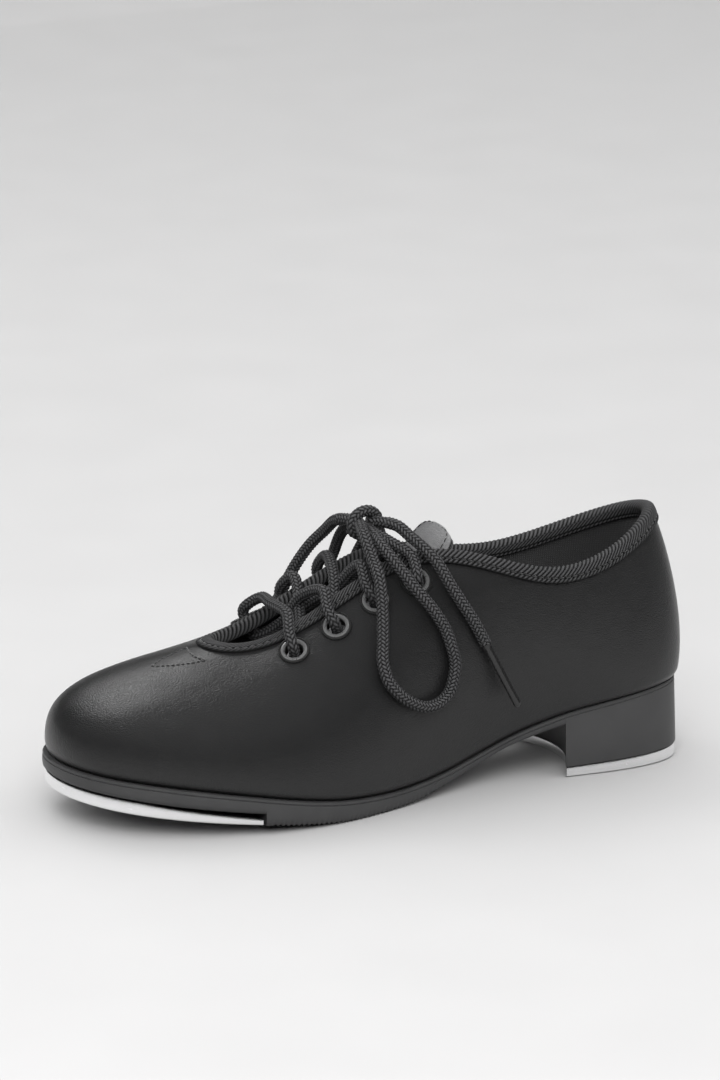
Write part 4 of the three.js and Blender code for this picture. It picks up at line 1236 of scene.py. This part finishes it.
class TAPSHOE_OT_tongue(ShoeStep, bpy.types.Operator):
    """Makes the tongue, its foam-backed cloth, its edge seam and the tack in front of it"""

    bl_idname = "tap_shoe.tongue"
    bl_label = "Tongue"
    nodes = ("tongue_outer", "tongue_padding", "tongue_tack_stitch")

    def make(self, context):
        new_piece("tongue_leather_face", self.blade(0, TONGUE_SKIN, 0), material("tongue_leather"),
                  "tongue_leather", "tongue", ["tongue_outer"])
        cloth = self.blade(TONGUE_SKIN + 0.1, TONGUE_PAD, 1)
        pad = new_piece("tongue_cloth_pad", cloth, material("tongue_textile"),
                        "tongue_textile", "tongue", ["tongue_padding"])
        new_piece("tongue_edge_stitching", self.edge_seam(), material("thread"), "thread", "tongue")
        new_piece("tongue_tack_thread", self.tack(), material("thread"), "thread",
                  replaces=["tongue_tack_stitch"])

    def lines(self, share):
        """Centre line place, half width, side drop and face direction at shares of the length."""
        knots = np.column_stack([np.linspace(0, 1, len(TONGUE_LINE)), TONGUE_LINE])
        line = height_at(knots, share)
        step = 0.01
        nearby = (height_at(knots, np.clip(share + step, 0, 1))
                  - height_at(knots, np.clip(share - step, 0, 1)))
        normal = unit(np.stack([np.zeros(len(share)), -nearby[:, 1], nearby[:, 0]], 1))
        return line[:, :2], line[:, 2], line[:, 3], normal

    def face(self, share, across, depth, shrink=0.0):
        """Points of the tongue: across runs from -1 to 1 over its width."""
        place, half, drop, normal = self.lines(share)
        x = TONGUE_X + across * np.maximum(half - shrink, 0.4)
        rows = np.stack([x, place[:, 0], place[:, 1] - drop * across ** 2], 1)
        return rows - normal * column(depth)

    def blade(self, depth, thickness, shrink):
        rounding = 0.9 + 0.1 * np.sin(np.linspace(0, math.pi / 2, 40))[1:]
        share = np.concatenate([np.linspace(0, 0.9, 110), rounding])
        loop = np.linspace(0, 2 * math.pi, 96, endpoint=False)
        rows = []
        for angle in loop:
            across = np.sign(math.cos(angle)) * abs(math.cos(angle)) ** 0.35
            side = np.sign(math.sin(angle)) * abs(math.sin(angle)) ** 0.5
            level = depth + thickness / 2 - side * thickness / 2
            rows.append(self.face(share, np.full(len(share), across), np.full(len(share), level), shrink))
        rows = np.stack(rows, 1)
        hubs = np.stack([rows[0].mean(axis=0), rows[-1].mean(axis=0)])
        count = len(share)
        quads = grid_quads(count, len(loop), False, True)
        fans = []
        for base, hub in ((0, count * len(loop)), ((count - 1) * len(loop), count * len(loop) + 1)):
            for j in range(0, len(loop), 2):
                fans.append((base + j, base + j + 1, base + (j + 2) % len(loop), hub))
        return np.concatenate([rows.reshape(-1, 3), hubs]), np.concatenate([quads, fans])

    def edge_seam(self):
        inset = 3.0
        share = np.linspace(0.3, 0.955, 120)
        half = self.lines(share)[1]
        across = np.maximum(half - inset, 0.5) / half
        level = np.full(len(share), -0.05)
        side = self.face(share, across, level)
        other = self.face(share, -across, level)[::-1]
        normal = self.lines(share)[3]
        return stitches(np.concatenate([side, other]), np.concatenate([normal, normal[::-1]]),
                        sizes().stitch / MM, 0.6, 0.3)

    def tack(self):
        """Triangle of small stitches on the leather, with a thicker bar tack on its outer side."""
        parts = []
        threads = (0.24, 0.34, 0.24)
        for corner, following, thread in zip(TACK_CORNERS, np.roll(TACK_CORNERS, -1, axis=0), threads):
            track = corner + (following - corner) * column(np.linspace(0, 1, 40))
            lift = upper_normal(track[:, 0], track[:, 1])
            parts.append(stitches(skin(track[:, 0], track[:, 1], -0.12), lift, 1.5, 0.35, thread))
        return joined(parts)


class TAPSHOE_OT_sole(ShoeStep, bpy.types.Operator):
    """Moulds the rubber sole with its tread edge, the tap's recess and the heel block"""

    bl_idname = "tap_shoe.sole"
    bl_label = "Sole and heel"
    nodes = ("outsole_unit",)

    def make(self, context):
        outline = Outline()
        shape = joined([self.forepart(outline), self.heel(outline)])
        new_piece("outsole_moulding", shape, material("sole_rubber"), "sole_rubber",
                  replaces=["outsole_unit"], sharp=38)

    def forepart(self, outline):
        y = outline.plan[:, 1]
        pitch = sizes().tread / MM

        def low(y):
            ribbed = ease(TOE_TAP_REAR + 1, TOE_TAP_REAR + 3, y) * (1 - ease(14, 22, y))
            groove = np.clip(0.5 + 0.9 * np.sin(2 * math.pi * y / pitch), 0, 1)
            recess = np.where(y < TOE_TAP_REAR, over_tap(y, REBATE_REAR, REBATE_FRONT), 0)
            return tread(y) + recess + 0.55 * groove * ribbed

        behind = -0.3 * ease(BREAST_Y, BREAST_Y + 0.8, y)
        profile = [
            (0.0, behind - 0.75, 0), (0.03, behind - 0.3, 0.15), (0.07, behind, 0.25),
            (0.3, behind + 0.2, 0), (0.6, behind + 0.22, 0), (1, behind + 0.12, -2.0),
            (1, behind + 0.08, -1.55), (1, behind - 0.2, -1.4), (1, behind - 0.2, -1.2),
            (1, behind + 0.06, -1.05), (1, behind + 0.04, -0.5), (1, behind - 0.12, -0.12),
            (1, behind - 0.5, 0),
        ]
        return line_slab(outline, profile, low, seat)

    def heel(self, outline):
        plan, out = heel_outline(outline, 0.0)
        y = plan[:, 1]
        breast = np.arange(len(plan)) >= len(plan) - 80
        flare = np.where(breast, 0, HEEL_FLARE)
        bottom, top = heel_tap_top(y) + GAP, seat(y) - np.where(breast, 3.0, 0.05)
        rows = [
            (0, flare - 0.5, 0), (0, flare - 0.12, 0.12), (0, flare, 0.5), (0.5, flare * 0.5, 0),
            (1, flare * 0.08, -2.2), (1, 0, -1.6), (1, -0.25, -1.42), (1, -0.25, -1.2), (1, 0, -1.02),
            (1, 0, -0.4), (1, -0.3, 0),
        ]
        centre = np.broadcast_to(np.array([0.0, 102.0]), plan.shape)
        walls = [
            (plan + out * column(np.broadcast_to(move, y.shape)), bottom + (top - bottom) * share + shift)
            for share, move, shift in rows
        ]
        return slab(plan, walls, centre, lambda y: heel_tap_top(y) + GAP, lambda y: seat(y) - 3.2)


class TAPSHOE_OT_taps(ShoeStep, bpy.types.Operator):
    """Makes the two aluminium taps with countersunk holes, and their screws"""

    bl_idname = "tap_shoe.taps"
    bl_label = "Taps and screws"
    nodes = ("toe_tap", "heel_tap")
    sink = 0.25

    def make(self, context):
        self.drilled("toe_tap_plate", self.toe_shape(), "toe_tap", SCREWS["toe"])
        self.drilled("heel_tap_plate", self.heel_shape(), "heel_tap", SCREWS["heel"])
        for end, places in SCREWS.items():
            for i, (x, y) in enumerate(places, 1):
                up = self.tilt(end, y)
                at = (x, y, self.height(end, y) + self.sink)
                new_piece(f"{end}_tap_screw_head_{i}", self.screw(at, up), material("screw_steel"),
                          "screw_steel", replaces=[f"{end}_tap_screw_{i}"], sharp=35)

    @staticmethod
    def height(end, y):
        return float(tread(y)) if end == "toe" else 0.0

    @staticmethod
    def tilt(end, y):
        slope = float(tread(y + 1) - tread(y - 1)) / 2 if end == "toe" else 0.0
        return unit(np.array([0, -slope, 1.0]))

    def drilled(self, name, shape, node, places):
        """A tap with its countersunk holes cut through."""
        piece = new_piece(name, shape, material("tap_aluminium"), "tap_aluminium", replaces=[node], sharp=40)
        end = node.split("_")[0]
        drills = []
        for x, y in places:
            profile = [(0, -2), (3.7, -2), (3.7, 0.5), (1.8, 2.5), (1.8, 9), (0, 9)]
            drills.append(turned(profile, (x, y, self.height(end, y)), self.tilt(end, y), 40))
        cutter = new_piece(f"{name}_drill", joined(drills), material("tap_aluminium"), "tap_aluminium")
        cut = piece.modifiers.new("holes", "BOOLEAN")
        cut.operation = "DIFFERENCE"
        cut.solver = "FAST"
        cut.object = cutter
        graph = bpy.context.evaluated_depsgraph_get()
        mesh = bpy.data.meshes.new_from_object(piece.evaluated_get(graph))
        piece.modifiers.clear()
        piece.data = mesh
        bpy.data.objects.remove(cutter)

    def toe_shape(self):
        outline = Outline(inset=TOE_TAP_INSET, count=1080)
        inside = outline.plan[:, 1] < TOE_TAP_REAR - GAP
        shift = int(np.argmin(inside))
        plan = np.roll(outline.plan, -shift, axis=0)[np.roll(inside, -shift)]
        out = np.roll(outline.out, -shift, axis=0)[np.roll(inside, -shift)]
        share = np.linspace(0, 1, 42)[1:-1]
        rear = plan[-1] + (plan[0] - plan[-1]) * column(share)
        plan = np.concatenate([plan, rear])
        out = np.concatenate([out, np.broadcast_to((0.0, 1.0), rear.shape)])

        def top(y):
            return tread(y) + over_tap(y, TOE_TAP_THIN, TOE_TAP_THICK)

        return self.plate(plan, out, (-5.0, -95.0), tread, top)

    def heel_shape(self):
        outline = Outline(inset=HEEL_TAP_INSET - HEEL_FLARE, count=1080)
        plan, out = heel_outline(outline, 0.0)
        plan = plan + np.array([0, 0.6])
        return self.plate(plan, out, (0.0, 102.0), np.zeros_like, heel_tap_top)

    def plate(self, plan, out, middle, low, high):
        """Plate with filed edges. The heights follow the shoe's length."""
        y = plan[:, 1]
        edges = [(0, -0.9, 0), (0, -0.4, 0.18), (0, -0.1, 0.5), (0, 0, 0.9), (1, 0, -0.5), (1, -0.12, -0.18),
                 (1, -0.45, 0)]
        walls = []
        for share, move, shift in edges:
            place = plan + out * move
            walls.append((place, low(y) + (high(y) - low(y)) * share + shift))
        walls[0] = (walls[0][0], low(walls[0][0][:, 1]))
        walls[-1] = (walls[-1][0], high(walls[-1][0][:, 1]))
        return slab(plan, walls, np.broadcast_to(np.array(middle), plan.shape), low, high)

    def screw(self, at, up):
        """Countersunk screw whose head, facing down, has a cross recess."""
        rings, sides = 16, 64
        radius = np.linspace(0, 3.3, rings)
        angle = np.linspace(0, 2 * math.pi, sides, endpoint=False)
        side = unit(np.cross(up, (0, 1, 0)))
        front = np.cross(up, side)
        reach, turn = np.meshgrid(radius, angle, indexing="ij")
        x, y = reach * np.cos(turn), reach * np.sin(turn)
        arm = np.minimum(np.abs(x), np.abs(y))
        recess = (1 - ease(0.35, 0.62, arm)) * (1 - ease(1.9, 2.2, reach)) * 1.3
        dome = 0.16 * (reach / 3.3) ** 2
        head = np.asarray(at) + x[..., None] * side + y[..., None] * front + (recess + dome)[..., None] * up
        shank = [(3.4, 0.3), (3.3, 0.45), (1.5, 2.2)]
        for turn_at in np.arange(2.6, 6.8, 0.5):
            shank += [(1.5, turn_at), (1.22, turn_at + 0.25)]
        shank += [(1.3, 7.0), (0.4, 7.4), (0, 7.4)]
        ring = np.cos(angle)[:, None] * side + np.sin(angle)[:, None] * front
        lower = np.array(shank)
        body = np.asarray(at) + lower[:, :1, None] * ring[None] + lower[:, 1:, None] * up
        rows = np.concatenate([head, body])
        return rows.reshape(-1, 3), grid_quads(len(rows), sides, False, True)


class TAPSHOE_OT_footbed(ShoeStep, bpy.types.Operator):
    """Lays the cloth sock over the insole board, and finishes the pieces hidden inside"""

    bl_idname = "tap_shoe.footbed"
    bl_label = "Footbed"
    nodes = ("sock_liner", "insole_board", "forepart_filler", "steel_shank", "toe_puff", "heel_counter")

    def make(self, context):
        floor = 2 * GAP + LEATHER + BOARD + GAP
        outline = Outline(stand_out=False, inset=4.6, count=720)

        def low(y):
            return seat(y) + floor

        def high(y):
            return seat(y) + floor + SOCK

        profile = [(0, -0.5, 0), (0.2, -0.1, 0), (0.5, 0, 0), (0.8, -0.1, 0), (1, -0.5, 0)]
        new_piece("sock_liner_cloth", line_slab(outline, profile, low, high), material("sock_textile"),
                  "sock_textile", replaces=["sock_liner"])
        hidden = {
            "insole_board": "fibre_board", "forepart_filler": "cork", "steel_shank": "shank_steel",
            "toe_puff": "stiffener", "heel_counter": "stiffener",
        }
        for node, slot in hidden.items():
            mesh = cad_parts[node].data
            mesh.materials.clear()
            mesh.materials.append(material(slot))


class TAPSHOE_OT_stage(ShoeStep, bpy.types.Operator):
    """Lays a pale floor and hangs soft studio lights"""

    bl_idname = "tap_shoe.stage"
    bl_label = "Stage"

    def make(self, context):
        self.floor(context)
        self.surroundings(context)
        # The ceiling and the fill light matt surfaces; the overhead is what the gloss mirrors.
        self.softbox("ceiling", (0.2, 0, 1.9), (0.2, 0, 0), (10, 8), 1090, on_gloss=False)
        self.softbox("front_fill", (1.4, -0.65, 1.25), (0, 0, 0), (1, 1), 50, on_gloss=False)
        self.softbox("overhead", (0.1, -0.1, 1.9), (0.1, -0.1, 0), (7.2, 6.2), 1150, on_matt=False)
        self.softbox("key", (-0.9, -0.15, 1.3), (0, 0, 0.05), (0.8, 0.6), 8)
        context.scene.view_settings.view_transform = "Standard"

    def floor(self, context):
        board = Board("pale_floor")
        cloud = board.noise(60, 2)
        tone = board.blend(cloud, (0.183, 0.182, 0.182), (0.191, 0.19, 0.19))
        board.finish(tone, 0.55 + cloud * 0.05, cloud, 0.02, {"Specular IOR Level": 0.2})
        mesh = bpy.data.meshes.new("floor")
        work = bmesh.new()
        bmesh.ops.create_circle(work, cap_ends=True, segments=96, radius=3.6)
        work.to_mesh(mesh)
        work.free()
        mesh.materials.append(board.material)
        floor = bpy.data.objects.new("floor", mesh)
        floor.location.z = -0.0002
        context.scene.collection.objects.link(floor)

    def surroundings(self, context):
        """Dim room for light and reflections, with a pale wall colour where the sky is seen."""
        world = bpy.data.worlds.new("studio")
        world.use_nodes = True
        tree = world.node_tree
        background = tree.nodes["Background"]
        background.inputs["Strength"].default_value = 1.0
        seen = tree.nodes.new("ShaderNodeLightPath")
        mix = tree.nodes.new("ShaderNodeMix")
        mix.data_type = "RGBA"
        mix.inputs[6].default_value = (0.03, 0.03, 0.03, 1)
        mix.inputs[7].default_value = (0.74, 0.735, 0.735, 1)
        tree.links.new(seen.outputs["Is Camera Ray"], mix.inputs["Factor"])
        tree.links.new(mix.outputs[2], background.inputs["Color"])
        context.scene.world = world

    def softbox(self, name, place, target, size, power, on_matt=True, on_gloss=True):
        """A soft rectangular light, which matt or glossy surfaces may be told to ignore."""
        light = bpy.data.lights.new(name, "AREA")
        light.shape = "RECTANGLE"
        light.size, light.size_y = size
        light.energy = power
        lamp = bpy.data.objects.new(name, light)
        lamp.location = place
        direction = Vector(target) - Vector(place)
        lamp.rotation_mode = "QUATERNION"
        lamp.rotation_quaternion = direction.to_track_quat("-Z", "Y")
        lamp.visible_diffuse = on_matt
        lamp.visible_glossy = on_gloss
        bpy.context.scene.collection.objects.link(lamp)


STEPS = (
    TAPSHOE_OT_camera,
    TAPSHOE_OT_bow,
    TAPSHOE_OT_lacing,
    TAPSHOE_OT_upper,
    TAPSHOE_OT_binding,
    TAPSHOE_OT_eyelets,
    TAPSHOE_OT_tongue,
    TAPSHOE_OT_sole,
    TAPSHOE_OT_taps,
    TAPSHOE_OT_footbed,
    TAPSHOE_OT_stage,
)


class TAPSHOE_PT_sidebar(bpy.types.Panel):
    """Sidebar with the shoe's sizes, colours and making steps"""

    bl_idname = "TAPSHOE_PT_sidebar"
    bl_label = "Tap Shoe"
    bl_space_type = "VIEW_3D"
    bl_region_type = "UI"
    bl_category = "Tap Shoe"

    def draw(self, context):
        for group in (context.scene.tap_shoe_sizes, context.scene.tap_shoe_colours):
            box = self.layout.box()
            for key in group.__annotations__:
                box.prop(group, key)
        for step in STEPS:
            self.layout.operator(step.bl_idname)


CLASSES = (ShoeSizes, ShoeColours, *STEPS, TAPSHOE_PT_sidebar)


def register():
    for cls in CLASSES:
        bpy.utils.register_class(cls)
    bpy.types.Scene.tap_shoe_sizes = PointerProperty(type=ShoeSizes)
    bpy.types.Scene.tap_shoe_colours = PointerProperty(type=ShoeColours)


def unregister():
    del bpy.types.Scene.tap_shoe_colours
    del bpy.types.Scene.tap_shoe_sizes
    for cls in reversed(CLASSES):
        bpy.utils.unregister_class(cls)


def main():
    register()
    for step in STEPS:
        group, name = step.bl_idname.split(".")
        getattr(getattr(bpy.ops, group), name)()


if __name__ == "__main__":
    main()
